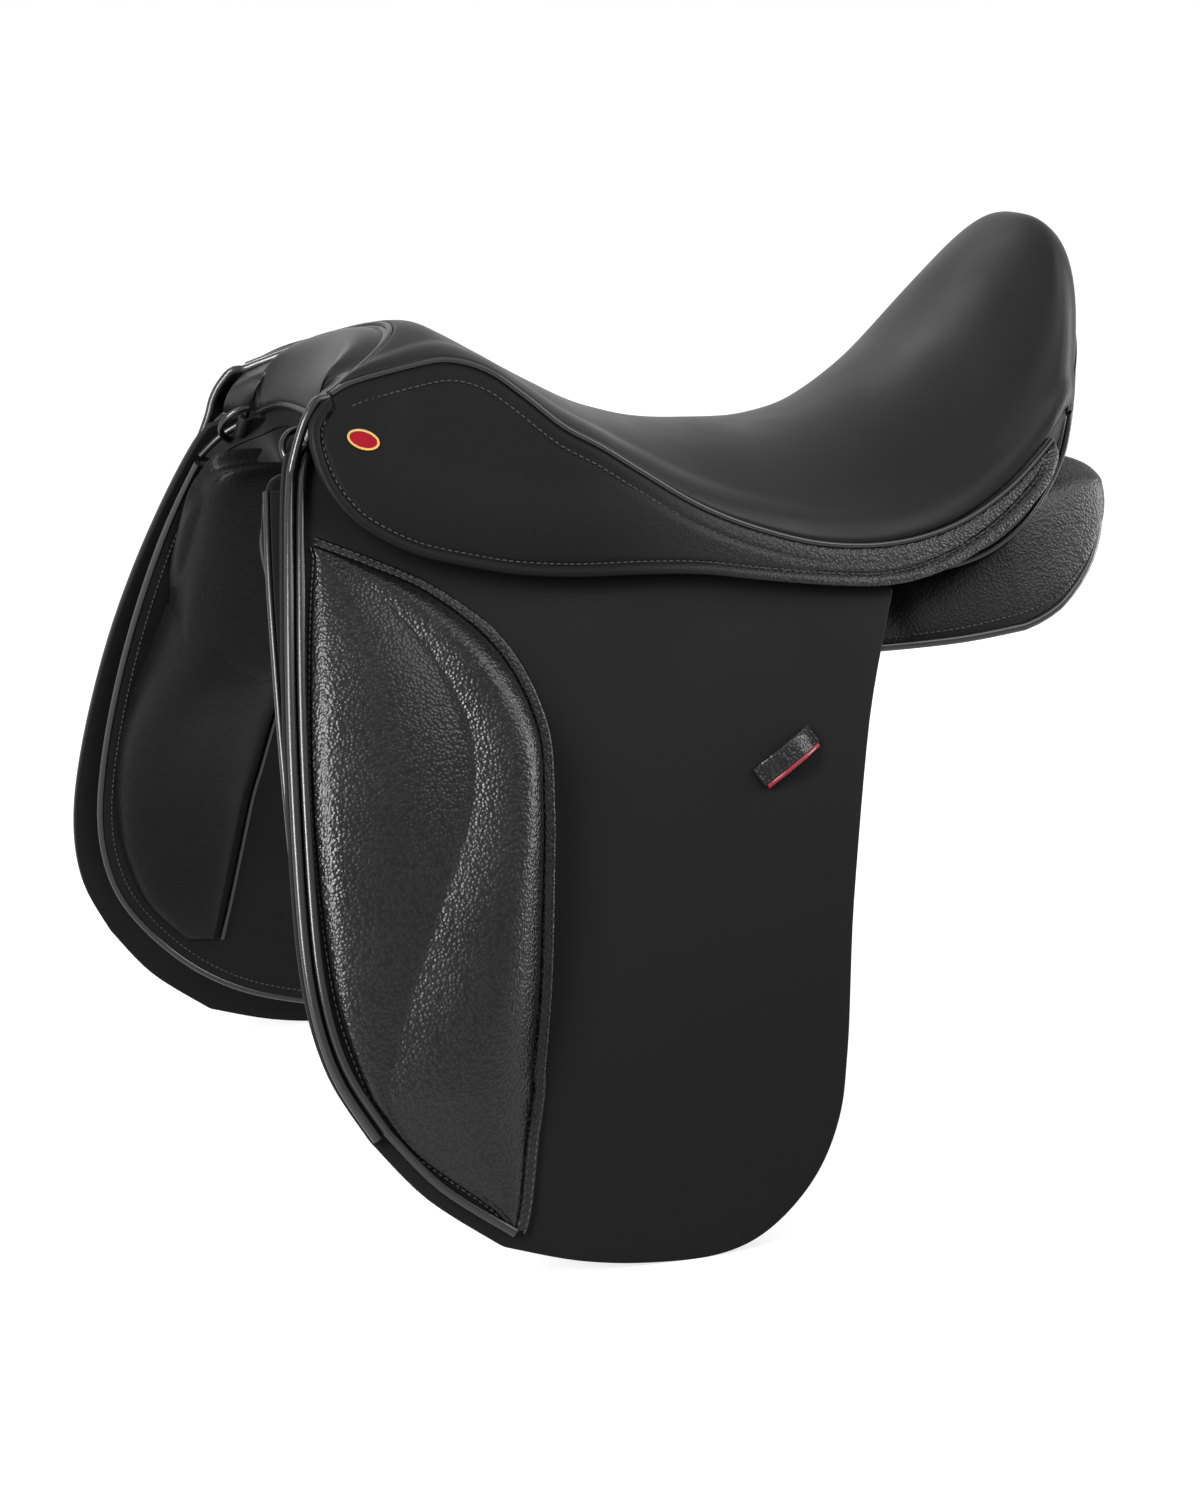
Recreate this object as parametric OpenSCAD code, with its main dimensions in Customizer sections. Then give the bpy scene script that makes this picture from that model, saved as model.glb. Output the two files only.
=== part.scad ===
// Dressage saddle in millimetres: +X towards the pommel, +Y to the left side of the horse, +Z up.
// The origin lies on the centre plane, in the channel between the panels, halfway along the saddle.

/* [Seat] */
// Distance along the saddle from the top of the pommel to the top of the cantle
seat_run = 371; // [350:1:390]
// Height of the lowest point of the seat above the origin
seat_low = 49; // [47:1:53]
// Rise of the pommel above the lowest point of the seat
pommel_rise = 61; // [57:1:68]
// Rise of the cantle above the lowest point of the seat
cantle_rise = 103; // [90:1:115]
// Thickness of the leather seat cover
cover_t = 2.5; // [1.5:0.1:3]
// Thickness of the seat foam along the middle of the seat
foam_t = 20; // [12:1:22]
// Thickness of the webbing under the foam
web_t = 1.5; // [1:0.1:2]
// Radius of the piping between seat and skirt
welt_r = 2.3; // [1.5:0.1:2.6]

/* [Flap] */
// Radius to which the flaps are bent
flap_r = 780; // [760:5:800]
// Half width over the flaps at their top edge
flap_top_y = 54.8; // [53:0.2:57]
// Height of the top edge of the flaps
flap_top_z = 71; // [70:0.5:73]
// Lean of the flaps at their top edge
flap_lean = 40; // [39.5:0.1:40.5]
// Angle by which the flaps open towards the rear
flap_toe = 2; // [1:0.1:2.5]
// Length of the flaps from front to rear
flap_w = 350; // [335:1:360]
// Furthest forward reach of the flaps
flap_front = 271; // [266:1:276]
// Drop of the flaps below the origin
flap_drop = 337; // [320:1:355]
// Thickness of the flap leather
flap_t = 4; // [3:0.1:4.5]
// Radius of the two rolled welts along the front of the flap
edge_roll_r = 2.5; // [1.8:0.1:2.8]
// Slit at the line on which a flap folds
fold_slit = 0.8; // [0.6:0.1:1.2]

/* [Thigh block] */
// Height of the ridge of the block over the flap
block_ridge = 27; // [18:1:32]
// Height of the padding in front of the ridge
block_pad = 14; // [8:1:18]

/* [Skirt] */
// Thickness of the skirt leather
skirt_t = 3.5; // [2.5:0.1:4]
// Distance of the skirt from the flap near its lower edge
skirt_off_low = 3.5; // [3.2:0.1:5]
// Distance of the skirt from the flap near its upper edge
skirt_off_top = 19; // [18:0.5:22]
// Length of the oval badge
badge_l = 17; // [12:0.5:18]
// Width of the oval badge
badge_w = 11; // [8:0.5:12]

/* [Tree] */
// Thickness of the tree
tree_t = 9; // [7:0.5:10]
// Length of the head of the tree
head_l = 72; // [60:1:74]
// Thickness of the steel head plate
head_plate_t = 3; // [2:0.1:4]
// Height of the rails of the tree
rail_h = 28; // [22:1:32]

/* [Stirrup bar] */
// Length of the base plate of the bar without its round ends
bar_plate_l = 80; // [70:1:84]
// Height of the base plate
bar_plate_h = 26; // [22:0.5:27]
// Thickness of the base plate
bar_plate_t = 2.5; // [2:0.1:2.8]
// Width of the slot for the stirrup leather
bar_slot = 4.5; // [4.2:0.1:4.8]
// Thickness of the bar
bar_t = 5; // [4:0.1:5.2]
// Height of the bar
bar_h = 12; // [9:0.5:13]
// Length of the catch
catch_l = 30; // [24:1:32]
// Radius of the pin of the catch
catch_pin_r = 2; // [1.5:0.1:2.5]

/* [Girth straps] */
// Width of a girth strap
strap_w = 25; // [20:0.5:28]
// Thickness of a girth strap
strap_t = 4; // [3:0.1:4.5]
// Height of the lower end of the straps below the origin
strap_drop = 262; // [240:1:275]
// Number of holes in a strap
strap_holes = 6; // [4:1:7]
// Distance between holes
strap_hole_step = 25; // [20:1:25]
// Radius of a hole
strap_hole_r = 2.5; // [2:0.1:3]

/* [Panel] */
// Thickness of the sweat flaps
sweat_t = 3; // [2.5:0.1:3.5]
// Half width of the channel between the panels at the rear
channel_half = 36; // [32:1:40]
// Thickness of the front pads
front_pad_t = 13; // [9:0.5:16]

/* [Small parts] */
// Radius of the wire of a dee
dee_wire_r = 1.75; // [1.4:0.05:2]
// Inner width of a dee
dee_w = 24; // [22:0.5:26]
// Length of the keeper on the flap
keeper_l = 40; // [34:1:44]
// Width of the keeper
keeper_w = 11; // [9:0.5:13]
// Room under the keeper
keeper_room = 3.5; // [3:0.1:4.5]

/* [Hidden] */
$fn = 48;
lay_gap = 1;
seat_x = 150;
line_n = 4;
black = [0.09, 0.09, 0.1];
deep_black = [0.05, 0.05, 0.055];
steel = [0.62, 0.62, 0.64];
brass = [0.72, 0.58, 0.3];
red = [0.6, 0.08, 0.1];
birch = [0.72, 0.6, 0.42];
webbing = [0.8, 0.78, 0.7];
foam = [0.85, 0.82, 0.72];

// Centre of the bend of the flaps, across the saddle and up
bend_y = flap_top_y - flap_r * cos(flap_lean);
bend_z = flap_top_z - flap_r * sin(flap_lean);
// The skirt is bent to a circle whose centre is moved so that it closes on the flap downwards
skirt_a1 = 32.2;
skirt_a2 = 41;
skirt_p1 = (flap_r + skirt_off_low) * [cos(skirt_a1), sin(skirt_a1)];
skirt_p2 = (flap_r + skirt_off_top) * [cos(skirt_a2), sin(skirt_a2)];
skirt_half = (skirt_p2 - skirt_p1) / 2;
skirt_in = [-skirt_half[1], skirt_half[0]] / norm(skirt_half)
  * sqrt(flap_r * flap_r - skirt_half * skirt_half);
skirt_dy = (skirt_p1 + skirt_half + skirt_in)[0];
skirt_dz = (skirt_p1 + skirt_half + skirt_in)[1];
// Radii of the layers from the flap inwards
flap_in = flap_r - flap_t;
tree_out = flap_in - 2 * lay_gap;
tree_in = tree_out - tree_t;
sweat_out = tree_in - lay_gap;
sweat_in = sweat_out - sweat_t;
pad_out = sweat_in - 0.4;

// Smooth curve through a list of points, with n steps between two of them
function blend4(a, b, c, d, f) =
  b + 0.5 * f * (c - a + f * (2 * a - 5 * b + 4 * c - d + f * (3 * (b - c) + d - a)));
function pick(p, i) = p[max(0, min(len(p) - 1, i))];
function curve(p, n) = [
  for (i = [0 : len(p) - 2]) for (k = [0 : n - 1])
    blend4(pick(p, i - 1), p[i], p[i + 1], pick(p, i + 2), k / n),
  p[len(p) - 1]
];
function ring_curve(p, n) = let (m = len(p)) [
  for (i = [0 : m - 1]) for (k = [0 : n - 1])
    blend4(p[(i + m - 1) % m], p[i], p[(i + 1) % m], p[(i + 2) % m], k / n)
];
function unit(v) = v / norm(v);
// Path in the side view moved to the right of its direction
function along(p, i) = unit(pick(p, i + 1) - pick(p, i - 1));
function shifted(p, d) = [for (i = [0 : len(p) - 1]) let (t = along(p, i)) p[i] + d * [t[1], -t[0]]];
// Height of a path given by rising or falling x at one x
function z_at(p, x) = let (
    hits = [for (i = [0 : len(p) - 2])
      if ((p[i][0] - x) * (p[i + 1][0] - x) <= 0 && p[i][0] != p[i + 1][0])
        p[i][1] + (p[i + 1][1] - p[i][1]) * (x - p[i][0]) / (p[i + 1][0] - p[i][0])]
  ) hits[0];

// Points on the bent layers, in the frame of one side
function bend_at(z, r) = bend_y + sqrt(r * r - (z - bend_z) * (z - bend_z));
function lay(x, z, r) = [x, bend_at(z, r), z];
function lean_at(z, r) = asin((z - bend_z) / r);
function skirt_at(z, r) = bend_y + skirt_dy + sqrt(r * r - pow(z - bend_z - skirt_dz, 2));
function skirt_lean(z) = asin((z - bend_z - skirt_dz) / flap_r);
// From the frame of the left side to the frame of the saddle
function toe(p) = [
  p[0] * cos(flap_toe) + p[1] * sin(flap_toe),
  p[1] * cos(flap_toe) - p[0] * sin(flap_toe),
  p[2]
];

// Stations of the seat: centre x share, pommel share, cantle share, edge x share, edge height, squareness
seat_table = [
  [-0.022, 0.984, 0, -0.162, 34, 2], [-0.011, 1.008, 0, -0.129, 39, 2], [0.019, 0.992, 0, -0.043, 45, 2],
  [0.051, 0.902, 0, 0.016, 47, 2], [0.094, 0.754, 0, 0.070, 41, 2], [0.137, 0.607, 0, 0.116, 28, 2],
  [0.183, 0.459, 0, 0.162, 13, 2], [0.237, 0.295, 0, 0.213, 2, 2], [0.291, 0.172, 0, 0.261, -10, 2],
  [0.372, 0.049, 0, 0.337, -28, 2], [0.466, 0, 0, 0.418, -41, 2], [0.580, 0, 0.005, 0.518, -51, 2],
  [0.694, 0, 0.120, 0.625, -53, 2], [0.806, 0, 0.410, 0.728, -46, 2], [0.908, 0, 0.790, 0.819, -31, 2.2],
  [0.978, 0, 0.995, 0.895, -12, 2.6], [1.010, 0, 0.975, 0.922, -3, 2.8], [1.028, 0, 0.845, 0.938, 3, 2.8],
  [1.026, 0, 0.573, 0.946, 5, 2.8], [1.008, 0, 0.243, 0.946, 2, 2.7], [0.998, 0, -0.080, 0.938, -24, 2.6]
];
seat_n = 2;
seat_last = 19;
function seat_mid(i) = let (s = seat_table[i])
  [seat_x - seat_run * s[0], seat_low + pommel_rise * s[1] + cantle_rise * s[2]];
function seat_rim(i) = let (s = seat_table[i]) [seat_x - seat_run * s[3], seat_low + s[4]];
stations = len(seat_table);
mid_line = curve([for (i = [0 : stations - 1]) seat_mid(i)], seat_n);
rim_line = curve([for (i = [0 : stations - 1]) seat_rim(i)], seat_n);
square_line = curve([for (i = [0 : stations - 1]) [seat_table[i][5], 0]], seat_n);
// The seam between seat and skirt runs from the first station to the one at the end of the skirt
seam = curve([for (i = [0 : 15]) seat_rim(i)], line_n);
seat_edge = shifted(rim_line, welt_r + 1.5);
seat_cols = 12;
function seat_row(i) = let (
    e = toe([seat_edge[i][0], skirt_at(seat_edge[i][1], flap_r + skirt_t / 2), seat_edge[i][1]]),
    m = mid_line[i]
  ) [for (j = [0 : seat_cols]) let (t = 2 * j / seat_cols - 1, f = pow(abs(t), square_line[i][0]))
    [m[0] + (e[0] - m[0]) * f, e[1] * t, m[1] + (e[2] - m[1]) * f]];
seat_surface = [for (i = [0 : len(mid_line) - 1]) seat_row(i)];

// Normal of a grid of points
function grid_normal(g, i, j) = let (
    a = g[min(i + 1, len(g) - 1)][j] - g[max(i - 1, 0)][j],
    b = g[i][min(j + 1, len(g[i]) - 1)] - g[i][max(j - 1, 0)]
  ) unit(cross(b, a));
// Part of the seat surface at one depth below it, or at a depth for each point
function seat_part(rows, cols, depth) = [for (i = rows) [for (j = cols)
    seat_surface[i][j] - grid_normal(seat_surface, i, j) * (is_function(depth) ? depth(i, j) : depth)]];
function seat_share(j) = abs(2 * j / seat_cols - 1);

// Solid between two grids of points with the same rows and columns
module slab(top, bottom) {
  n = len(top);
  m = len(top[0]);
  points = [for (g = [top, bottom]) for (row = g) for (p = row) p];
  function a(i, j) = i * m + j;
  function b(i, j) = n * m + i * m + j;
  faces = [
    for (i = [0 : n - 2]) for (j = [0 : m - 2]) each [
      [a(i, j), a(i + 1, j), a(i + 1, j + 1)], [a(i, j), a(i + 1, j + 1), a(i, j + 1)],
      [b(i, j), b(i + 1, j + 1), b(i + 1, j)], [b(i, j), b(i, j + 1), b(i + 1, j + 1)]
    ],
    for (i = [0 : n - 2]) each [
      [a(i + 1, 0), a(i, 0), b(i, 0)], [a(i + 1, 0), b(i, 0), b(i + 1, 0)],
      [a(i, m - 1), a(i + 1, m - 1), b(i + 1, m - 1)], [a(i, m - 1), b(i + 1, m - 1), b(i, m - 1)]
    ],
    for (j = [0 : m - 2]) each [
      [a(0, j), a(0, j + 1), b(0, j + 1)], [a(0, j), b(0, j + 1), b(0, j)],
      [a(n - 1, j + 1), a(n - 1, j), b(n - 1, j)], [a(n - 1, j + 1), b(n - 1, j), b(n - 1, j + 1)]
    ]
  ];
  polyhedron(points, faces, convexity = 8);
}

// Solid through a row of closed sections that run anticlockwise about the direction of the row
module loft(rings) {
  n = len(rings);
  m = len(rings[0]);
  points = [for (r = rings) for (p = r) p];
  faces = [
    for (i = [0 : n - 2]) for (k = [0 : m - 1]) let (q = (k + 1) % m) each [
      [i * m + k, (i + 1) * m + k, (i + 1) * m + q], [i * m + k, (i + 1) * m + q, i * m + q]
    ],
    for (k = [1 : m - 2]) each [
      [0, k, k + 1], [(n - 1) * m, (n - 1) * m + k + 1, (n - 1) * m + k]
    ]
  ];
  polyhedron(points, faces, convexity = 8);
}

// Round or flattened roll along a path: r across the reference direction, q along it
function roll_ring(p, i, r, q, ref, sides) = let (
    t = unit(pick(p, i + 1) - pick(p, i - 1)),
    u = unit(cross(t, ref)),
    v = cross(t, u)
  ) [for (k = [0 : sides - 1]) p[i] + r * cos(360 * k / sides) * u + q * sin(360 * k / sides) * v];
module roll(path, r, q, ref, sides) {
  loft([for (i = [0 : len(path) - 1]) roll_ring(path, i, r, q, ref, sides)]);
}

// Places a piece drawn for the left side on the left or the right side
module on_side(k) {
  if (k > 0)
    rotate([0, 0, -flap_toe]) children();
  else
    mirror([0, 1, 0]) rotate([0, 0, -flap_toe]) children();
}
// Sheet bent like the flap, cut to an outline in the side view
module sheet(r0, r1) {
  intersection() {
    translate([0, bend_y, bend_z]) rotate([0, 90, 0]) difference() {
      cylinder(r = r1, h = 700, center = true, $fn = 360);
      cylinder(r = r0, h = 702, center = true, $fn = 360);
    }
    translate([0, 400, 0]) rotate([90, 0, 0]) linear_extrude(400) children();
  }
}
// Sheet bent like the skirt
module skirt_sheet(r0, r1) {
  intersection() {
    translate([0, bend_y + skirt_dy, bend_z + skirt_dz]) rotate([0, 90, 0]) difference() {
      cylinder(r = r1, h = 700, center = true, $fn = 360);
      cylinder(r = r0, h = 702, center = true, $fn = 360);
    }
    translate([0, 400, 0]) rotate([90, 0, 0]) linear_extrude(400) children();
  }
}
// Flat frame that touches a bent layer: X forward, Y outwards, Z up along the leather
module on_layer(x, z, r) {
  translate(lay(x, z, r)) rotate([lean_at(z, r), 0, 0]) children();
}
// Rod along Y from y0 to y1
module rod_y(r, y0, y1) {
  translate([0, y0, 0]) rotate([-90, 0, 0]) cylinder(r = r, h = y1 - y0);
}

// Outline of the flap in the side view, as shares of its length and height, from the front of the top
flap_h = flap_top_z + flap_drop;
function flap_point(fx, fz) = [flap_front - flap_w * (1 - fx), fz * flap_h - flap_drop];
flap_front_edge = curve([
  flap_point(0.857, 1), flap_point(0.903, 0.941), flap_point(0.946, 0.801), flap_point(0.980, 0.642),
  flap_point(1, 0.473), flap_point(1, 0.360), flap_point(0.977, 0.270), flap_point(0.926, 0.191)
], line_n);
flap_corner_edge = curve([
  flap_point(0.926, 0.191), flap_point(0.849, 0.115), flap_point(0.743, 0.047)
], line_n);
flap_rest_edge = curve([
  flap_point(0.743, 0.047), flap_point(0.631, 0.017), flap_point(0.523, 0.002), flap_point(0.414, 0),
  flap_point(0.334, 0.022), flap_point(0.260, 0.076), flap_point(0.214, 0.145), flap_point(0.191, 0.228),
  flap_point(0.154, 0.404), flap_point(0.083, 0.610), flap_point(0, 0.760)
], line_n);
flap_outline = concat(flap_front_edge, flap_corner_edge, flap_rest_edge);

// Line on which the flap folds, just below the skirt, in the side view
fold_front = [244, 20.5];
fold_rear = [-79, -65];
fold_slope = (fold_front[1] - fold_rear[1]) / (fold_front[0] - fold_rear[0]);
function fold_z(x) = fold_rear[1] + fold_slope * (x - fold_rear[0]);
// Line on which the skirt folds
leaf_front = [217, 76];
leaf_rear = [14, -9];
leaf_slope = (leaf_front[1] - leaf_rear[1]) / (leaf_front[0] - leaf_rear[0]);
function leaf_z(x) = leaf_rear[1] + leaf_slope * (x - leaf_rear[0]);
module below_line(p, slope, drop) {
  polygon([
    [-500, p[1] + slope * (-500 - p[0]) - drop], [-500, -900], [500, -900],
    [500, p[1] + slope * (500 - p[0]) - drop]
  ]);
}
module above_line(p, slope, lift) {
  polygon([
    [-500, p[1] + slope * (-500 - p[0]) + lift], [500, p[1] + slope * (500 - p[0]) + lift],
    [500, 900], [-500, 900]
  ]);
}
// Everything below the seam of the seat, moved down by some distance
module below_seam(drop) {
  low = shifted(seam, -drop);
  n = len(low);
  polygon(concat(
    [[500, low[0][1] - 30], [low[0][0] + 40, low[0][1] - 20]], low,
    [[low[n - 1][0] - 25, low[n - 1][1] + 22], [-500, low[n - 1][1] + 22], [-500, -900], [500, -900]]
  ));
}

// Lower edge of the skirt from its front corner to its rear tip
skirt_edge = curve([
  [216, 80], [224, 71], [226, 60], [224, 46], [218, 33], [206, 20], [182, 7], [153, -1], [128, -6],
  [96, -9], [62, -10], [30, -12], [-3, -17], [-41, -22], [-69, -24], [-93, -22], [-119, -15],
  [-147, -2], [-177, 18], [-190, 30]
], line_n);
module skirt_outline() {
  intersection() {
    polygon(concat(skirt_edge, [[-186, 42]], [[-100, 200], [216, 200]]));
    below_seam(welt_r + 0.5);
  }
}

// Tree of the saddle: head arch, points, rails and cantle in one
arch_lean = 38.5;
arch_x = 112;
arch_join_z = bend_z + tree_out * sin(arch_lean);
arch_join_y = bend_at(arch_join_z, tree_out) - (arch_x + head_l * 0.8) * sin(flap_toe);
arch_r = arch_join_y / cos(arch_lean);
arch_z = arch_join_z - arch_r * sin(arch_lean);
head_notch_r = 62;
tree_front_x = 186;
function head_rivet_lean(i) = [-32, -16, 16, 32][i];
module arch(r0, r1, x0, x1) {
  intersection() {
    translate([x0, 0, arch_z]) rotate([0, 90, 0]) difference() {
      cylinder(r = r1, h = x1 - x0, $fn = 180);
      translate([0, 0, -1]) cylinder(r = r0, h = x1 - x0 + 2, $fn = 180);
    }
    translate([0, -200, arch_join_z]) cube([400, 400, 200]);
  }
}
module at_head_rivet(i) {
  translate([arch_x + 14, 0, arch_z]) rotate([head_rivet_lean(i), 0, 0]) children();
}
rail_seam = shifted(seam, -4);
rail_top = [for (i = [4 * line_n : 11.5 * line_n]) rail_seam[i]];
rail_low = shifted(rail_top, -rail_h);
module tree_side_outline() {
  n = len(rail_top);
  intersection() {
    polygon(concat(
      rail_top,
      [for (i = [0 : n - 1]) rail_low[n - 1 - i]],
      [[arch_x + 22, -40], [arch_x + 28, -72], [arch_x + 40, -80], [arch_x + 52, -72],
        [arch_x + 64, -10], [tree_front_x, 40], [tree_front_x, arch_join_z + 1.5],
        [arch_x, arch_join_z + 1.5]]
    ));
    translate([-400, -400]) square([800, 400 + arch_join_z + 1.5]);
  }
}
module tree() {
  color(birch) union() {
    difference() {
      arch(arch_r - tree_t, arch_r, arch_x, arch_x + head_l);
      translate([arch_x + head_l / 2 + head_notch_r, 0, 0]) cylinder(r = head_notch_r, h = 200, $fn = 90);
      for (i = [0 : 3])
        at_head_rivet(i) translate([0, 0, arch_r - 25]) cylinder(r = 2.55, h = 40);
    }
    for (k = [1, -1])
      on_side(k) difference() {
        sheet(tree_in, tree_out) tree_side_outline();
        for (i = [0 : 3])
          at_bar() at_bar_rivet(i) rod_y(2.05, -60, 20);
      }
    cantle_slab();
  }
}
function cantle_depth(i, j) = foam_t + 5.5 - (foam_t - 6) * pow(seat_share(j), 4);
module cantle_slab() {
  rows = [11 * seat_n : 16 * seat_n];
  slab(
    seat_part(rows, [0 : seat_cols], function (i, j) cantle_depth(i, j)),
    seat_part(rows, [0 : seat_cols], function (i, j) cantle_depth(i, j) + 6));
}
module head_plate() {
  color(steel) difference() {
    arch(arch_r - tree_t - 0.3 - head_plate_t, arch_r - tree_t - 0.3, arch_x + 2, arch_x + 30);
    for (i = [0 : 3])
      at_head_rivet(i) translate([0, 0, arch_r - 25]) cylinder(r = 2.55, h = 40);
  }
}
module head_rivets() {
  color(steel) for (i = [0 : 3])
    at_head_rivet(i) {
      translate([0, 0, arch_r - tree_t - 0.3 - head_plate_t - 2.3]) cylinder(r = 4.5, h = 2);
      translate([0, 0, arch_r - tree_t - 0.3 - head_plate_t - 1])
        cylinder(r = 2.5, h = tree_t + head_plate_t + 1);
    }
}

// Seat from the webbing to the cover
module seat_cover() {
  rows = [0 : seat_last * seat_n];
  color(black) slab(seat_part(rows, [0 : seat_cols], 0), seat_part(rows, [0 : seat_cols], cover_t));
}
foam_cols = [1 : seat_cols - 1];
web_cols = [2 : seat_cols - 2];
function foam_depth(i, j) =
  foam_t * min(1, max(0.4, 0.4 + (i - 5 * seat_n) * 0.1)) * (1 - 0.8 * pow(seat_share(j), 3));
module seat_foam() {
  rows = [3 * seat_n : 15 * seat_n];
  color(foam) slab(
    seat_part(rows, foam_cols, cover_t + 0.4),
    seat_part(rows, foam_cols, function (i, j) cover_t + 0.4 + foam_depth(i, j)));
}
module seat_webbing() {
  rows = [8 * seat_n : 11 * seat_n];
  color(webbing) slab(
    seat_part(rows, web_cols, function (i, j) cover_t + 1 + foam_depth(i, j)),
    seat_part(rows, web_cols, function (i, j) cover_t + 1 + web_t + foam_depth(i, j)));
}
module seat_welts() {
  color(deep_black) for (k = [1, -1])
    on_side(k) roll(
      [for (p = seam) [p[0], skirt_at(p[1], flap_r + skirt_t / 2), p[1]]],
      welt_r, welt_r, [0, 0.8, 0.6], 6);
}
module cantle_strap() {
  rows = [18 * seat_n : 20 * seat_n];
  color(black) slab(seat_part(rows, [0 : seat_cols], -3.5), seat_part(rows, [0 : seat_cols], -0.5));
}
module pommel_facing() {
  half = curve([
    [150, 0, 98.6], [157, 15, 96.6], [170, 27, 90.6],
    [186, 34, 80.6], [197, 36, 71.5], [203, 36, 64.5]
  ], 3);
  n = len(half);
  path = concat(
    [for (i = [0 : n - 1]) let (p = half[n - 1 - i]) [p[0], -p[1], p[2]]],
    [for (i = [1 : n - 1]) half[i]]
  );
  color(black) roll(path, 7, 11, [0.9, 0, 0.45], 10);
}

// Skirts and their badges
module skirt_top(k) {
  color(black) on_side(k) skirt_sheet(flap_r, flap_r + skirt_t) difference() {
    skirt_outline();
    intersection() {
      below_line(leaf_rear, leaf_slope, -fold_slit / 2);
      translate([leaf_rear[0], -400]) square([400, 800]);
    }
  }
}
module skirt_top_left() skirt_top(1);
module skirt_top_right() skirt_top(-1);
module skirt_leaf(k) {
  color(black) on_side(k) skirt_sheet(flap_r, flap_r + skirt_t) intersection() {
    skirt_outline();
    below_line(leaf_rear, leaf_slope, fold_slit / 2);
    translate([leaf_rear[0] + fold_slit, -400]) square([400, 800]);
  }
}
module skirt_leaf_left() skirt_leaf(1);
module skirt_leaf_right() skirt_leaf(-1);
badge_x = 199;
badge_z = 61;
module at_badge() {
  translate([badge_x, skirt_at(badge_z, flap_r + skirt_t), badge_z])
    rotate([skirt_lean(badge_z), 0, 0]) rotate([0, -20, 0]) children();
}
// Oval plate along Y
module oval(l, w, y0, y1) {
  translate([0, y1, 0]) rotate([90, 0, 0]) linear_extrude(y1 - y0)
    polygon([for (a = [0 : 10 : 350]) [l / 2 * cos(a), w / 2 * sin(a)]]);
}
module badge_rim(k) {
  color(brass) on_side(k) at_badge() difference() {
    oval(badge_l, badge_w, 0.3, 2.1);
    oval(badge_l - 2.4, badge_w - 2.4, 1.1, 3);
  }
}
module badge_rim_left() badge_rim(1);
module badge_rim_right() badge_rim(-1);
module badge_face(k) {
  color(red) on_side(k) at_badge() oval(badge_l - 2.8, badge_w - 2.8, 1.3, 2.3);
}
module badge_face_left() badge_face(1);
module badge_face_right() badge_face(-1);

// Fixed upper part of a flap, with the opening for the stirrup bar
module flap_head(k) {
  color(black) on_side(k) difference() {
    sheet(flap_in, flap_r) intersection() {
      polygon(concat(flap_outline, [[flap_front - flap_w - 6, 200], [200, 200]]));
      below_seam(20);
      above_line(fold_rear, fold_slope, fold_slit / 2);
    }
    at_bar() translate([-bar_plate_l / 2 - bar_plate_h / 2 - 2, -20, -bar_plate_h / 2 - 2])
      cube([bar_plate_l + bar_plate_h + 4, 60, bar_plate_h + 4]);
  }
}
module flap_head_left() flap_head(1);
module flap_head_right() flap_head(-1);
module flap(k) {
  color(black) on_side(k) sheet(flap_in, flap_r) intersection() {
    polygon(concat(flap_outline, [[flap_front - flap_w, 200], [200, 200]]));
    below_line(fold_rear, fold_slope, fold_slit / 2);
  }
}
module flap_left() flap(1);
module flap_right() flap(-1);
// Rolled welts along the front edge of the flap, on its outer face
function roll_path(inset, low, high, edge) = [
  for (p = shifted(edge, inset)) if (p[1] - fold_z(p[0]) > low && p[1] - fold_z(p[0]) < high)
    lay(p[0], p[1], flap_r + edge_roll_r + 0.3)
];
roll_edge = concat(flap_front_edge, [for (i = [1 : len(flap_corner_edge) - 1]) flap_corner_edge[i]]);
roll_near = 3.2;
roll_far = roll_near + 2 * edge_roll_r + 0.8;
module edge_rolls(k) {
  color(deep_black) on_side(k) {
    roll(roll_path(roll_near, -300, -9, flap_front_edge), edge_roll_r, edge_roll_r, [0, 0.9, 0.4], 6);
    roll(roll_path(roll_far, -400, -9, roll_edge), edge_roll_r, edge_roll_r, [0, 0.9, 0.4], 6);
  }
}
module edge_rolls_left() edge_rolls(1);
module edge_rolls_right() edge_rolls(-1);
module head_rolls() {
  color(deep_black) for (k = [1, -1])
    on_side(k) roll(roll_path(roll_near, 2, 60, flap_front_edge), edge_roll_r, edge_roll_r, [0, 0.9, 0.4], 6);
}

// Thigh block: rows from top to bottom with the front edge, crease, rear seam and height shares
block_rows = [
  [[229, 6], [219, 3], [206, 1], 0.12], [[236, -10], [204, -12], [176, -13], 0.5],
  [[243, -38], [187, -38], [147, -40], 0.85], [[250, -73], [176, -74], [134, -75], 1],
  [[255, -110], [183, -110], [137, -111], 1], [[257, -150], [204, -150], [144, -152], 0.92],
  [[255, -195], [224, -193], [152, -198], 0.75], [[243, -233], [227, -230], [160, -235], 0.5],
  [[219, -270], [205, -267], [168, -268], 0.28], [[181, -300], [177, -299], [173, -298], 0.1]
];
block_grid_rows = curve([for (r = block_rows) [each r[0], each r[1], each r[2], r[3]]], 2);
function block_point(b, c) = let (
    f = [b[0], b[1]],
    m = [b[2], b[3]],
    r = [b[4], b[5]],
    v = c < 4 ? c / 4 : (c - 4) / 6,
    p = c < 4 ? f + (m - f) * v : m + (r - m) * v,
    crease = block_pad * 0.7 * b[6],
    h = c < 4
      ? 1.5 + crease * v + block_pad * 0.7 * b[6] * sin(180 * v)
      : 1.5 + crease * (1 - v) + (block_ridge - 8) * b[6] * pow(sin(180 * pow(v, 0.8)), 1.3)
  ) [p[0], p[1], h];
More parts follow.
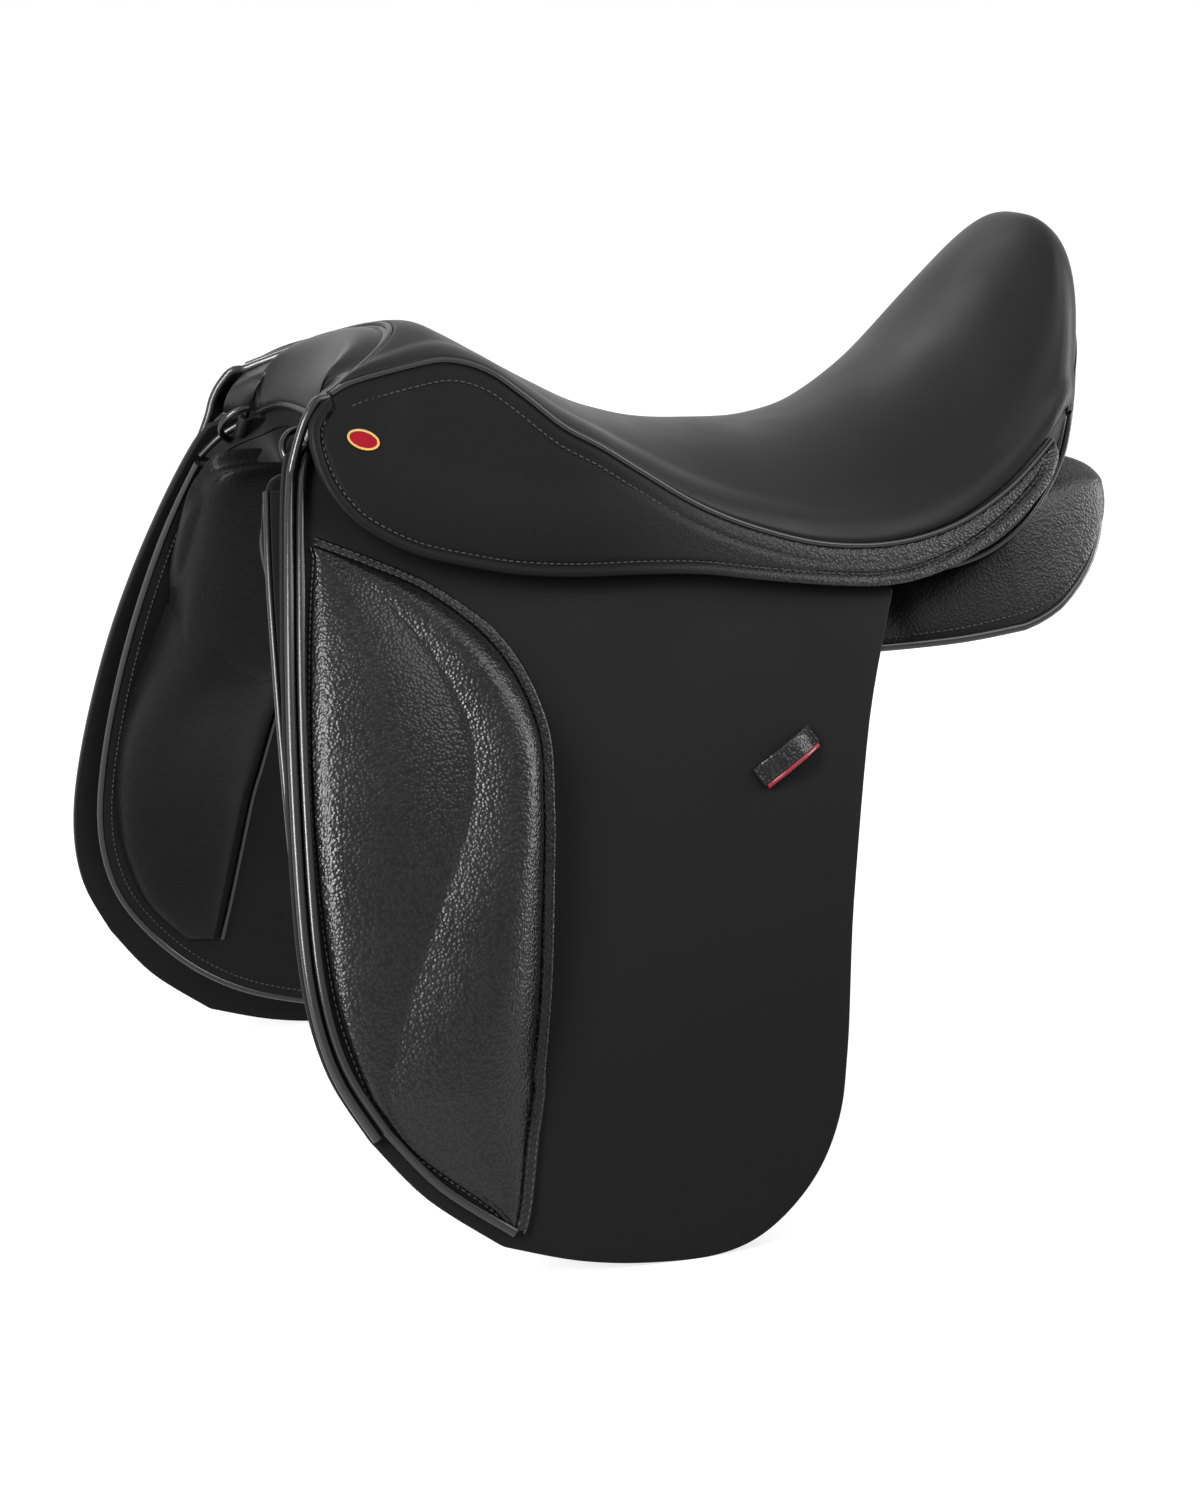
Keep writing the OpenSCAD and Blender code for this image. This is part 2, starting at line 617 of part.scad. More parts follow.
module thigh_block(k) {
  g = [for (b = block_grid_rows) [for (c = [0 : 10]) block_point(b, 10 - c)]];
  top = [for (r = g) [for (p = r) lay(p[0], p[1], flap_r + 0.4 + p[2])]];
  low = [for (r = g) [for (p = r) lay(p[0], p[1], flap_r + 0.4)]];
  color(black) on_side(k) slab(top, low);
}
module thigh_block_left() thigh_block(1);
module thigh_block_right() thigh_block(-1);

// Keeper for the end of the stirrup leather, with its red piping
keeper_x = 1.5;
keeper_z = -101;
keeper_t = 2.5;
module at_keeper() {
  on_layer(keeper_x, keeper_z, flap_r) rotate([0, 31, 0]) children();
}
module keeper(k) {
  e = keeper_l / 2;
  h = keeper_room + 0.4;
  color(black) on_side(k) at_keeper() translate([0, 0, -keeper_w / 2]) linear_extrude(keeper_w) polygon([
    [-e, 0.4], [-e + 7, 0.4], [-e + 10, h], [e - 10, h], [e - 7, 0.4], [e, 0.4],
    [e, keeper_t], [e - 5, keeper_t + 0.4], [e - 9, h + keeper_t], [-e + 9, h + keeper_t],
    [-e + 5, keeper_t + 0.4], [-e, keeper_t]
  ]);
}
module keeper_left() keeper(1);
module keeper_right() keeper(-1);
module keeper_piping(k) {
  color(red) on_side(k) at_keeper() translate([0, keeper_room + 0.4 + keeper_t / 2, -keeper_w / 2 - 1.3])
    rotate([0, 90, 0]) cylinder(r = 1.1, h = keeper_l - 20, center = true);
}
module keeper_piping_left() keeper_piping(1);
module keeper_piping_right() keeper_piping(-1);

// Stirrup bar with its folding catch
bar_x = 132;
bar_z = 25;
bar_tilt = 14;
bar_y0 = bar_plate_t + bar_slot;
bar_y1 = bar_y0 + bar_t;
lap_x = -bar_plate_l / 2 - 6;
lap_y = bar_y0 + bar_t / 2;
module at_bar() {
  on_layer(bar_x, bar_z, tree_out + 0.3) rotate([0, -bar_tilt, 0]) children();
}
module at_bar_rivet(i) {
  translate([(i % 2) * 70 - 35, 0, i < 2 ? -bar_plate_h / 2 + 3.5 : bar_plate_h / 2 - 3.5]) children();
}
module box(x0, x1, y0, y1, z0, z1) {
  translate([x0, y0, z0]) cube([x1 - x0, y1 - y0, z1 - z0]);
}
module stirrup_bar(k) {
  h = bar_plate_h / 2;
  s = bar_h / 2;
  color(steel) on_side(k) at_bar() difference() {
    union() {
      box(-bar_plate_l / 2, bar_plate_l / 2, 0, bar_plate_t, -h, h);
      for (x = [-bar_plate_l / 2, bar_plate_l / 2])
        translate([x, 0, 0]) rod_y(h, 0, bar_plate_t);
      box(bar_plate_l / 2 - 8, bar_plate_l / 2 + 4, 0, bar_y1, -s, s);
      translate([bar_plate_l / 2 + 4, 0, 0]) rod_y(s, 0, bar_y1);
      box(lap_x + s, bar_plate_l / 2, bar_y0, bar_y1, -s, s);
      box(lap_x, lap_x + s + 1, lap_y + 0.15, bar_y1, -s, s);
      translate([lap_x, 0, 0]) rod_y(s, lap_y + 0.15, bar_y1);
      translate([lap_x, 0, 0]) rod_y(catch_pin_r, bar_y0, bar_y1);
    }
    difference() {
      translate([lap_x, 0, 0]) rod_y(s + 0.4, bar_y0 - 1, lap_y + 0.15);
      translate([lap_x, 0, 0]) rod_y(catch_pin_r, bar_y0 - 2, lap_y + 1);
    }
    for (i = [0 : 3])
      at_bar_rivet(i) rod_y(2.05, -1, bar_plate_t + 1);
  }
}
module stirrup_bar_left() stirrup_bar(1);
module stirrup_bar_right() stirrup_bar(-1);
module bar_catch(k) {
  s = bar_h / 2;
  color(steel) on_side(k) at_bar() difference() {
    union() {
      box(lap_x - catch_l + s, lap_x, bar_y0, bar_y1, -s, s);
      translate([lap_x - catch_l + s, 0, 0]) rod_y(s, bar_y0, bar_y1);
      translate([lap_x, 0, 0]) rod_y(s, bar_y0, lap_y - 0.15);
    }
    translate([lap_x, 0, 0]) rod_y(s + 3.2, lap_y - 0.15, bar_y1 + 1);
    translate([lap_x, 0, 0]) rod_y(catch_pin_r + 0.05, bar_y0 - 1, bar_y1 + 1);
  }
}
module bar_catch_left() bar_catch(1);
module bar_catch_right() bar_catch(-1);
module bar_rivets() {
  color(steel) for (k = [1, -1])
    on_side(k) at_bar() for (i = [0 : 3])
      at_bar_rivet(i) {
        rod_y(2, -tree_t, bar_plate_t + 0.5);
        rod_y(3.2, bar_plate_t + 0.2, bar_plate_t + 1.4);
      }
}

// Sweat flap between the girth straps and the horse
sweat_outline = curve([
  [241, 34], [250, -10], [258, -75], [262, -140], [260, -188], [249, -225], [230, -253], [202, -280],
  [172, -299], [140, -311], [104, -319], [66, -320], [40, -312], [20, -292], [8, -266], [2, -240],
  [-10, -172], [-34, -90], [-60, -40], [-68, -14]
], line_n);
module sweat_flap(k) {
  color(black) on_side(k) sheet(sweat_in, sweat_out) intersection() {
    polygon(concat(sweat_outline, [[-68, 150], [200, 150]]));
    below_seam(30);
    translate([-400, -500]) square([800, 548]);
  }
}
module sweat_flap_left() sweat_flap(1);
module sweat_flap_right() sweat_flap(-1);

// Front pad on the horse side of the sweat flap, below the panel
pad_rows = [
  [[254, -91], [171, -91], 0.5], [[257, -122], [173, -124], 1], [[255, -165], [176, -168], 1],
  [[247, -205], [180, -208], 0.9], [[230, -240], [184, -242], 0.7], [[204, -266], [188, -268], 0.25]
];
pad_grid_rows = curve([for (r = pad_rows) [each r[0], each r[1], r[2]]], 2);
module front_pad(k) {
  g = [for (b = pad_grid_rows) [for (c = [0 : 6]) let (v = c / 6)
    [
      b[0] + (b[2] - b[0]) * v,
      b[1] + (b[3] - b[1]) * v,
      2 + (front_pad_t - 2) * b[4] * pow(sin(180 * v), 0.7)
    ]]];
  top = [for (r = g) [for (p = r) lay(p[0], p[1], pad_out - p[2])]];
  low = [for (r = g) [for (p = r) lay(p[0], p[1], pad_out)]];
  color(black) on_side(k) slab(top, low);
}
module front_pad_left() front_pad(1);
module front_pad_right() front_pad(-1);

// Panel: sections from front to rear with outer top, outer bottom, inner bottom and inner top corners
panel_r = sweat_in - 2;
function panel_edge(a) = [bend_y + panel_r * cos(a), bend_z + panel_r * sin(a)];
panel_table = [
  [243, panel_edge(37), panel_edge(31), [78, -16], [56, 14]],
  [236, panel_edge(38), panel_edge(28), [104, -78], [42, 24]],
  [215, panel_edge(38.2), panel_edge(27.4), [104, -94], [37, 28]],
  [165, panel_edge(37.8), panel_edge(27.5), [100, -92], [37, 28]],
  [110, panel_edge(36.6), panel_edge(28), [82, -80], [38, 22]],
  [60, panel_edge(35), panel_edge(29), [60, -58], [channel_half + 1, 13]],
  [0, panel_edge(33.5), panel_edge(29.5), [46, -36], [channel_half + 1, 6]],
  [-60, panel_edge(33.2), panel_edge(29.3), [42, -30], [channel_half, 8]],
  [-118, panel_edge(33.4), [121, -58], [42, -33], [channel_half, 14]],
  [-165, [88, 6], [119, -54], [42, -31], [channel_half, 28]],
  [-209, [80, 30], [102, -40], [42, -25], [channel_half, 32]],
  [-228, [70, 22], [84, -18], [48, -10], [46, 22]]
];
function panel_section(s) = let (
    a = s[1],
    b = s[2],
    c = s[3],
    d = s[4],
    arc = norm(a - b) * norm(a - b) / (8 * panel_r),
    free = s[0] < -90 ? 5 : arc,
    out = unit([-(b - a)[1], (b - a)[0]])
  ) ring_curve([
    a, (a + b) / 2 + free * [abs(out[0]), abs(out[1])],
    b, (b + c) / 2 - [0, 5],
    c, (c + d) / 2,
    d, (d + a) / 2 + [0, 2]
  ], 2);
module panel(k) {
  rows = curve([for (s = panel_table) [s[0], each s[1], each s[2], each s[3], each s[4]]], 2);
  rings = [for (r = rows) let (
      q = panel_section([r[0], [r[1], r[2]], [r[3], r[4]], [r[5], r[6]], [r[7], r[8]]])
    ) [for (p = q) [r[0], p[0], p[1]]]];
  color(black) on_side(k) loft(rings);
}
module panel_left() panel(1);
module panel_right() panel(-1);

// Lining that joins the panels over the channel: x, half width, height at the panels and in the middle
lining_t = 1.5;
lining_table = [
  [206, 36.4, 26, 54], [165, 36.4, 26, 57], [118, 37.2, 21, 56], [90, 37, 17, 48],
  [60, channel_half + 0.4, 11, 35], [30, channel_half + 0.4, 7, 23], [0, channel_half + 0.4, 4, 16],
  [-30, channel_half - 0.1, 4.5, 12], [-60, channel_half - 0.6, 6, 11], [-90, channel_half - 0.6, 8, 13],
  [-118, channel_half - 0.6, 12, 20], [-165, channel_half - 0.6, 26, 36], [-204, channel_half - 0.6, 30, 44]
];
lining_rows = curve(lining_table, 2);
module gullet_lining() {
  g = [for (r = lining_rows) let (e = toe([r[0], r[1] - 0.4, r[2]])) [for (j = [0 : 10]) let (t = j / 5 - 1)
    [e[0], e[1] * t, r[2] + (r[3] - r[2]) * (1 - pow(abs(t), 3))]]];
  low = [for (i = [0 : len(g) - 1]) [for (j = [0 : 10]) g[i][j] - lining_t * grid_normal(g, i, j)]];
  color(deep_black) slab(g, low);
}

// Girth straps on their webs
function strap_x(i) = [62, 10][i];
function strap_top_z(i) = min([for (d = [-1, 0, 1]) z_at(rail_low, strap_x(i) + d * strap_w / 2)]) - 4;
strap_out = tree_out - 0.2;
module girth_strap(k, i) {
  x = strap_x(i);
  w = strap_w / 2;
  color(black) on_side(k) difference() {
    sheet(strap_out - strap_t, strap_out) polygon([
      [x - w, strap_top_z(i)], [x + w, strap_top_z(i)], [x + w, -strap_drop + 12],
      [x + 4, -strap_drop], [x - 4, -strap_drop], [x - w, -strap_drop + 12]
    ]);
    for (n = [0 : strap_holes - 1]) let (z = -strap_drop + 30 + n * strap_hole_step)
      on_layer(x, z, strap_out) rod_y(strap_hole_r, -20, 20);
  }
}
module girth_strap_front_left() girth_strap(1, 0);
module girth_strap_rear_left() girth_strap(1, 1);
module girth_strap_front_right() girth_strap(-1, 0);
module girth_strap_rear_right() girth_strap(-1, 1);
module girth_webs() {
  color(webbing) for (k = [1, -1])
    on_side(k) for (i = [0, 1]) let (x = strap_x(i))
      sheet(tree_out + 0.3, tree_out + 1.5) polygon([
        [x - strap_w / 2 + 1, strap_top_z(i) - 34], [x + strap_w / 2 - 1, strap_top_z(i) - 34],
        [x + strap_w / 2 - 1, strap_top_z(i) + 30], [x - strap_w / 2 + 1, strap_top_z(i) + 18]
      ]);
}

// Dees for tack at the front, on leather chapes
dee_x = 219;
dee_z = 54;
dee_layer = tree_in + tree_t / 2;
module at_dee() {
  on_layer(dee_x, dee_z, dee_layer) children();
}
module dee_chape(k) {
  color(black) on_side(k) at_dee() difference() {
    union() {
      box(tree_front_x + 0.4 - dee_x, 0, -2.2, 2.2, -7, 7);
      translate([0, 0, -7]) cylinder(r = 3.4, h = 14);
    }
    translate([0, 0, -10]) cylinder(r = dee_wire_r + 0.08, h = 20);
  }
}
module dee_chape_left() dee_chape(1);
module dee_chape_right() dee_chape(-1);
module dee(k) {
  d = dee_w / 2;
  color(steel) on_side(k) at_dee() union() {
    translate([0, 0, -d]) cylinder(r = dee_wire_r, h = 2 * d);
    rotate([-90, 0, 0]) rotate([0, 0, -90]) rotate_extrude(angle = 180)
      translate([d, 0]) circle(r = dee_wire_r);
    for (z = [-d, d])
      translate([0, 0, z]) sphere(r = dee_wire_r);
  }
}
module dee_left() dee(1);
module dee_right() dee(-1);

tree();
head_plate();
head_rivets();
seat_webbing();
seat_foam();
seat_cover();
seat_welts();
cantle_strap();
pommel_facing();
skirt_top_left();
skirt_top_right();
skirt_leaf_left();
skirt_leaf_right();
badge_rim_left();
badge_rim_right();
badge_face_left();
badge_face_right();
flap_head_left();
flap_head_right();
head_rolls();
flap_left();
flap_right();
thigh_block_left();
thigh_block_right();
edge_rolls_left();
edge_rolls_right();
keeper_left();
keeper_right();
keeper_piping_left();
keeper_piping_right();
stirrup_bar_left();
stirrup_bar_right();
bar_rivets();
bar_catch_left();
bar_catch_right();
sweat_flap_left();
sweat_flap_right();
front_pad_left();
front_pad_right();
panel_left();
panel_right();
gullet_lining();
girth_webs();
girth_strap_front_left();
girth_strap_rear_left();
girth_strap_front_right();
girth_strap_rear_right();
dee_chape_left();
dee_chape_right();
dee_left();
dee_right();
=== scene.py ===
# %% [markdown]
# # A black leather dressage saddle
# The solids of the saddle are already packed as a fixed frame. This lesson dresses them: leather that is
# bent, rolled, padded and sewn, and metal that stays as it was built. Nothing in the frame is moved.

# %% Load the frame
import math

import bmesh
import bpy
import numpy as np
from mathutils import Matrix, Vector
from mathutils.geometry import delaunay_2d_cdt


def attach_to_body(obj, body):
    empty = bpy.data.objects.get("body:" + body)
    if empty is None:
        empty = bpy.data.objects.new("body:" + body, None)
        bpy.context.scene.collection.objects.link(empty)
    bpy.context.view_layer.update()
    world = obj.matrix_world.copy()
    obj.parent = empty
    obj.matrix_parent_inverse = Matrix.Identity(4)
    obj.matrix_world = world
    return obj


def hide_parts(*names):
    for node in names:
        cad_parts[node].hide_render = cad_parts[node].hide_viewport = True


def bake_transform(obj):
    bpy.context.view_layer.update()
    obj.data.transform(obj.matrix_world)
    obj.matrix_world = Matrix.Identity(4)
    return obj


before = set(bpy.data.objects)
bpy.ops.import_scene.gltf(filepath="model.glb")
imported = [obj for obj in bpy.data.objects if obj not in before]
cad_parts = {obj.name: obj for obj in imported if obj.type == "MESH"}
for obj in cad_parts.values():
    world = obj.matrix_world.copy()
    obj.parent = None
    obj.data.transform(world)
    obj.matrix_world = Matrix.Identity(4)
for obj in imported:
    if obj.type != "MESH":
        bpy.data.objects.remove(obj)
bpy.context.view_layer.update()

SIDES = {"left": 1, "right": -1}

# %% [markdown]
# ## The shape that everything follows
# Each side of the saddle is leather bent round a large cylinder, and both sides open a little towards the
# rear. The flap and all that lies under it are shells round one axis, and the skirt over them has an axis
# of its own, so a point is given by its place in the side view and its radius. A bend modifier could do
# this for each sheet, but with these few functions sheets on one axis keep their distance exactly. They
# work in millimetres, and the last two turn a left-hand piece into metres on either side.

# %% Bent layers
FLAP_R, FLAP_T, SKIRT_T = 780.0, 4.0, 3.5
TOE, TOP_LEAN = math.radians(2), math.radians(40)
TOP_Y, TOP_Z = 54.8, 71.0
BEND_Y = TOP_Y - FLAP_R * math.cos(TOP_LEAN)
BEND_Z = TOP_Z - FLAP_R * math.sin(TOP_LEAN)
SKIRT_Y, SKIRT_Z = BEND_Y - 44.811, BEND_Z + 89.767


def layer(x, z, r, cy=BEND_Y, cz=BEND_Z):
    x, z, r = np.broadcast_arrays(np.asarray(x, float), np.asarray(z, float), np.asarray(r, float))
    return np.stack([x, cy + np.sqrt(r * r - (z - cz) ** 2), z], -1)


def skirt_layer(x, z, r):
    return layer(x, z, r, SKIRT_Y, SKIRT_Z)


def placed(p, side=1):
    c, s = math.cos(TOE), math.sin(TOE)
    p = np.asarray(p, float)
    x, y = p[..., 0] * c + p[..., 1] * s, side * (p[..., 1] * c - p[..., 0] * s)
    return np.stack([x, y, p[..., 2]], -1) / 1000


def bent(path, r, side=1, lay=layer):
    return placed(lay(path[..., 0], path[..., 1], r), side)


print("axis of the bend", round(BEND_Y, 1), round(BEND_Z, 1))

# %% [markdown]
# ## Nodes, colours and leather
# One small function adds any node to any tree, so that the material trees and the geometry trees read
# alike. A few more name what comes back often: a noise, a change of range, arithmetic, a mix of colours
# and a bump. Nodes could also be set by hand in the editor, but a line of code shows at a glance what
# feeds what.

# %% Node helpers
def node(tree, kind, inputs=None, **settings):
    n = tree.nodes.new(kind)
    for key, value in settings.items():
        setattr(n, key, value)
    for key, value in (inputs or {}).items():
        if isinstance(value, bpy.types.NodeSocket):
            tree.links.new(value, n.inputs[key])
        else:
            n.inputs[key].default_value = value
    return n


def noise(tree, where, size_m, detail=2.0, give="Fac"):
    inputs = {"Vector": where, "Scale": 1 / size_m, "Detail": detail}
    return node(tree, "ShaderNodeTexNoise", inputs).outputs[give]


def ranged(tree, value, low, high, start=0.0, end=1.0, **settings):
    inputs = {"Value": value, "From Min": start, "From Max": end, "To Min": low, "To Max": high}
    return node(tree, "ShaderNodeMapRange", inputs, **settings).outputs["Result"]


def combine(tree, operation, *values):
    return node(tree, "ShaderNodeMath", dict(enumerate(values)), operation=operation).outputs[0]


def tinted(tree, share, first, second):
    return node(tree, "ShaderNodeMix", {0: share, 6: first, 7: second}, data_type="RGBA").outputs[2]


def bumped(tree, height, depth_m):
    return node(tree, "ShaderNodeBump", {"Height": height, "Distance": depth_m}).outputs["Normal"]


def wire(shader, **sockets):
    for key, value in sockets.items():
        shader.id_data.links.new(value, shader.inputs[key.replace("_", " ")])


print("node helpers: noise, ranged, combine, tinted, bumped")

# %% [markdown]
# Every finish starts as a Principled shader with a colour and a roughness. Colours are written as hex
# values, as a paint chart gives them, and turned to linear light once. Patterns are placed by object
# coordinates, because these are in metres, so a grain keeps its true size on every piece.

# %% Colours and plain finishes
def linear(code):
    parts = [int(code[i:i + 2], 16) / 255 for i in (1, 3, 5)]
    return tuple(c / 12.92 if c <= 0.04045 else ((c + 0.055) / 1.055) ** 2.4 for c in parts) + (1.0,)


def finish_named(name, colour, roughness, **sockets):
    m = bpy.data.materials.new(name)
    m.use_nodes = True
    shader = m.node_tree.nodes["Principled BSDF"]
    shader.inputs["Base Color"].default_value = linear(colour)
    shader.inputs["Roughness"].default_value = roughness
    for key, value in sockets.items():
        shader.inputs[key.replace("_", " ")].default_value = value
    where = node(m.node_tree, "ShaderNodeTexCoord").outputs["Object"]
    return m, m.node_tree, shader, where


print("red of the piping", [round(c, 3) for c in linear("#6f1020")])

# %% [markdown]
# Leather shows two things to the eye: a broad soft sheen from its wax, and a grain that breaks that sheen
# up. Calf that is smooth has pores under a millimetre, and pebbled hide has rounded cells one to two
# millimetres wide. Both are drawn as bump from cell noise, and a slow noise stretches the cells, because
# a hide is never even. A photograph of leather would repeat over a piece this large, and noise doesn't.
# Two things are added where a hide needs them: painted shade that darkens the creases between the cells and
# dulls their sheen, and grain and sheen that can grow from the front of the saddle to its rear.

# %% How leather is built
WARP_SIZE, WARP_REACH = 0.006, 0.0014
CLOUD_SIZE, UNEVEN = 0.05, 0.06


def leather(name, colour, roughness, cell_mm, depth_mm, gloss=0.5, fade=None, crease_shade=0.0):
    m, tree, shader, where = finish_named(name, colour, roughness, Specular_IOR_Level=gloss)
    drift = noise(tree, where, WARP_SIZE, 1.0, "Color")
    warped = node(tree, "ShaderNodeVectorMath", {0: drift, 1: (WARP_REACH,) * 3, 2: where},
                  operation="MULTIPLY_ADD")
    cells = node(tree, "ShaderNodeTexVoronoi", {"Vector": warped.outputs[0], "Scale": 1000 / cell_mm,
                                                "Smoothness": 0.35}, feature="SMOOTH_F1")
    crown = ranged(tree, cells.outputs["Distance"], 1.0, 0.0, end=0.75)
    cloud = noise(tree, where, CLOUD_SIZE, 3.0)
    rough = ranged(tree, cloud, roughness - UNEVEN, roughness + UNEVEN, 0.3, 0.7)
    height, share, sheen = crown, 1.0, gloss
    if fade:
        front_x, rear_x, least, rear_gloss, polish = fade
        place = node(tree, "ShaderNodeSeparateXYZ", {0: where})
        share = ranged(tree, place.outputs["X"], least, 1.0, front_x, rear_x, interpolation_type="SMOOTHSTEP")
        height = combine(tree, "MULTIPLY", height, share)
        sheen = ranged(tree, share, gloss, rear_gloss, least)
        rough = combine(tree, "MULTIPLY_ADD", share, -polish, rough)
    # Painted shade: the creases between the cells get a darker base colour and a duller sheen.
    if crease_shade:
        darkest_in_crease = combine(tree, "MULTIPLY_ADD", share, -crease_shade, 1.0)
        unshaded_share = ranged(tree, crown, darkest_in_crease, 1.0, 0.1, 0.5)
        sheen = combine(tree, "MULTIPLY", unshaded_share, sheen)
        wire(shader, Base_Color=tinted(tree, unshaded_share, (0, 0, 0, 1), linear(colour)))
    if fade or crease_shade:
        wire(shader, Specular_IOR_Level=sheen)
    wire(shader, Normal=bumped(tree, height, depth_mm / 1000), Roughness=rough)
    return m


print("clouds in the wax, mm", CLOUD_SIZE * 1000)

# %% [markdown]
# A saddler picks a hide for each place: tight calf where the rider sits, thick flat hide for the flaps,
# soft pebbled hide over padding, thin skin round a cord. Each gets a colour, a roughness, the size and
# depth of its grain and its gloss, so the hides differ as they do in the workshop.

# %% Leather finishes
# Seat calf: drum-dyed, waxed and stretched tight, so the grain is nearly flat and the sheen broad.
SEAT_CALF = leather("seat_calf", "#131314", 0.39, 0.9, 0.022, 0.13)
# Facing calf: the same skin on the pommel, polished by the rider's hands.
FACING_CALF = leather("facing_calf", "#131314", 0.33, 0.9, 0.022, 0.26)
# Flap hide: thick, matt, rolled flat.
FLAP_HIDE = leather("flap_hide", "#121213", 0.62, 0.9, 0.018, 0.08)
# Skirt hide: matt and smooth at the front, pebbled towards the rear, with painted shade in the creases of the
# grain.
SKIRT_HIDE = leather("skirt_hide", "#0f0f10", 0.56, 1.6, 0.42, 0.07, (0.10, -0.09, 0.12, 0.44, 0.18), 0.3)
# Pebbled hide: soft drum-shrunk leather on the thigh blocks and keepers, with painted shade in the creases of
# the grain.
PEBBLED_HIDE = leather("pebbled_hide", "#0c0c0d", 0.31, 1.7, 0.29, 0.29, crease_shade=0.2)
# Piping hide: thin leather pulled round a cord, which polishes it.
PIPING_HIDE = leather("piping_hide", "#0f0f10", 0.28, 0.8, 0.012, 0.45)
# Panel hide: soft leather against the horse, dull at the front and shiny at the rear, with painted shade in
# the creases of the grain.
PANEL_HIDE = leather("panel_hide", "#0d0d0e", 0.42, 1.6, 0.24, 0.09, (-0.10, -0.22, 0.6, 0.32, 0.05), 0.2)
# Bridle hide: dense, waxed straps with a cut edge.
BRIDLE_HIDE = leather("bridle_hide", "#111112", 0.44, 0.9, 0.02, 0.35)
# Lining hide: thin and matt.
LINING_HIDE = leather("lining_hide", "#0d0d0e", 0.6, 1.1, 0.03, 0.10)
# Red piping hide on the keepers.
RED_HIDE = leather("red_piping_hide", "#6f1020", 0.42, 0.8, 0.02)
print("leathers", [m.name for m in bpy.data.materials if "hide" in m.name or "calf" in m.name])

# %% [markdown]
# ## Metal, thread, wood and webbing
# The fittings are ordinary saddler's stock: forged stirrup bars, black dees, and a gilt rim round a red
# enamel plate. Metals keep the default IOR and get their look from roughness. Brushing is a noise
# stretched along one direction, which needs no picture and keeps its scale.

# %% Metals and enamel
def metal(name, colour, roughness, low, high, haze_m):
    m, tree, shader, where = finish_named(name, colour, roughness, Metallic=1.0)
    wire(shader, Roughness=ranged(tree, noise(tree, where, haze_m), low, high))
    return m


# Forged steel, tumbled and plated: soft broad glints with faint marks along the bar.
FORGED_STEEL, tree, shader, where = finish_named("forged_steel", "#b4b4b6", 0.32, Metallic=1.0)
marks = node(tree, "ShaderNodeMapping", {"Vector": where, "Scale": (120, 1600, 1600)})
wire(shader, Roughness=ranged(tree, noise(tree, marks.outputs[0], 1.0, 3.0), 0.24, 0.42))
# Black nickel on the dees: a dark plate that keeps its shine, with a little haze.
NICKEL = metal("black_nickel_plate", "#3b3a3a", 0.24, 0.18, 0.32, 0.004)
# Gilt brass rim: stamped and polished.
GILT = metal("gilt_brass", "#c9a566", 0.22, 0.14, 0.3, 0.003)
# Red enamel fused in the rim: matt and slightly cloudy.
ENAMEL, tree, shader, where = finish_named("red_enamel", "#7d0f1c", 0.42, Specular_IOR_Level=0.06)
wire(shader, Base_Color=tinted(tree, noise(tree, where, 0.003), linear("#6b0a16"), linear("#8a111f")))
print("metals", FORGED_STEEL.name, NICKEL.name, GILT.name, "and", ENAMEL.name)

# %% [markdown]
# Thread, laminated birch and cotton webbing are all built from strands or layers, so one wave texture
# draws them all: as twist, as bands a millimetre or two thick, and crossed with itself as a weave.

# %% Thread, wood and webbing
def waves(tree, where, scale, settings=None, **inputs):
    inputs = {"Vector": where, "Scale": scale, **inputs}
    return node(tree, "ShaderNodeTexWave", inputs, **(settings or {})).outputs["Fac"]


# Linen thread, waxed black, twisted at about one turn a millimetre.
THREAD, tree, shader, where = finish_named("waxed_thread", "#363638", 0.62, Specular_IOR_Level=0.2)
wire(shader, Normal=bumped(tree, waves(tree, where, 1 / 0.001, Distortion=2.0), 0.0001))
# Birch laminate of the tree under black lacquer, its near-black colour also painted shade for the gaps where
# the tree shows: the bands of the veneers only just show.
BIRCH, tree, shader, where = finish_named("lacquered_birch_and_shade", "#1a1714", 0.5, Specular_IOR_Level=0.3)
bands = waves(tree, where, 0.5 / 0.0015, Distortion=3.0, Detail=2.0)
wire(shader, Base_Color=tinted(tree, bands, linear("#14110f"), linear("#201b17")))
# Cotton webbing: a plain weave with threads about 0.8 mm apart.
WEBBING, tree, shader, where = finish_named("cotton_webbing", "#b7b09c", 0.85, Sheen_Weight=0.2)
weave = [waves(tree, where, 0.5 / 0.0008, {"bands_direction": way}) for way in "XZ"]
wire(shader, Normal=bumped(tree, combine(tree, "MULTIPLY", *weave), 0.0003))
print("finishes in all", len(bpy.data.materials))

# %% [markdown]
# ## Meshes from grids
# Most leather here is a skin that has to be closed, with its faces outwards. This helper welds the points
# of such a skin, turns every face outwards and shades it smooth, with a hard line only where the skin
# really turns. It does in one call what several operators would do in edit mode.

# %% One skin
WELD_M = 2e-6


def added(name, points, edges, faces):
    mesh = bpy.data.meshes.new(name)
    mesh.from_pydata(np.asarray(points).tolist(), edges, faces)
    obj = bpy.data.objects.new(name, mesh)
    bpy.context.scene.collection.objects.link(obj)
    return obj


def smooth(mesh, sharp=None):
    mesh.polygons.foreach_set("use_smooth", [True] * len(mesh.polygons))
    if sharp:
        mesh.set_sharp_from_angle(angle=math.radians(sharp))


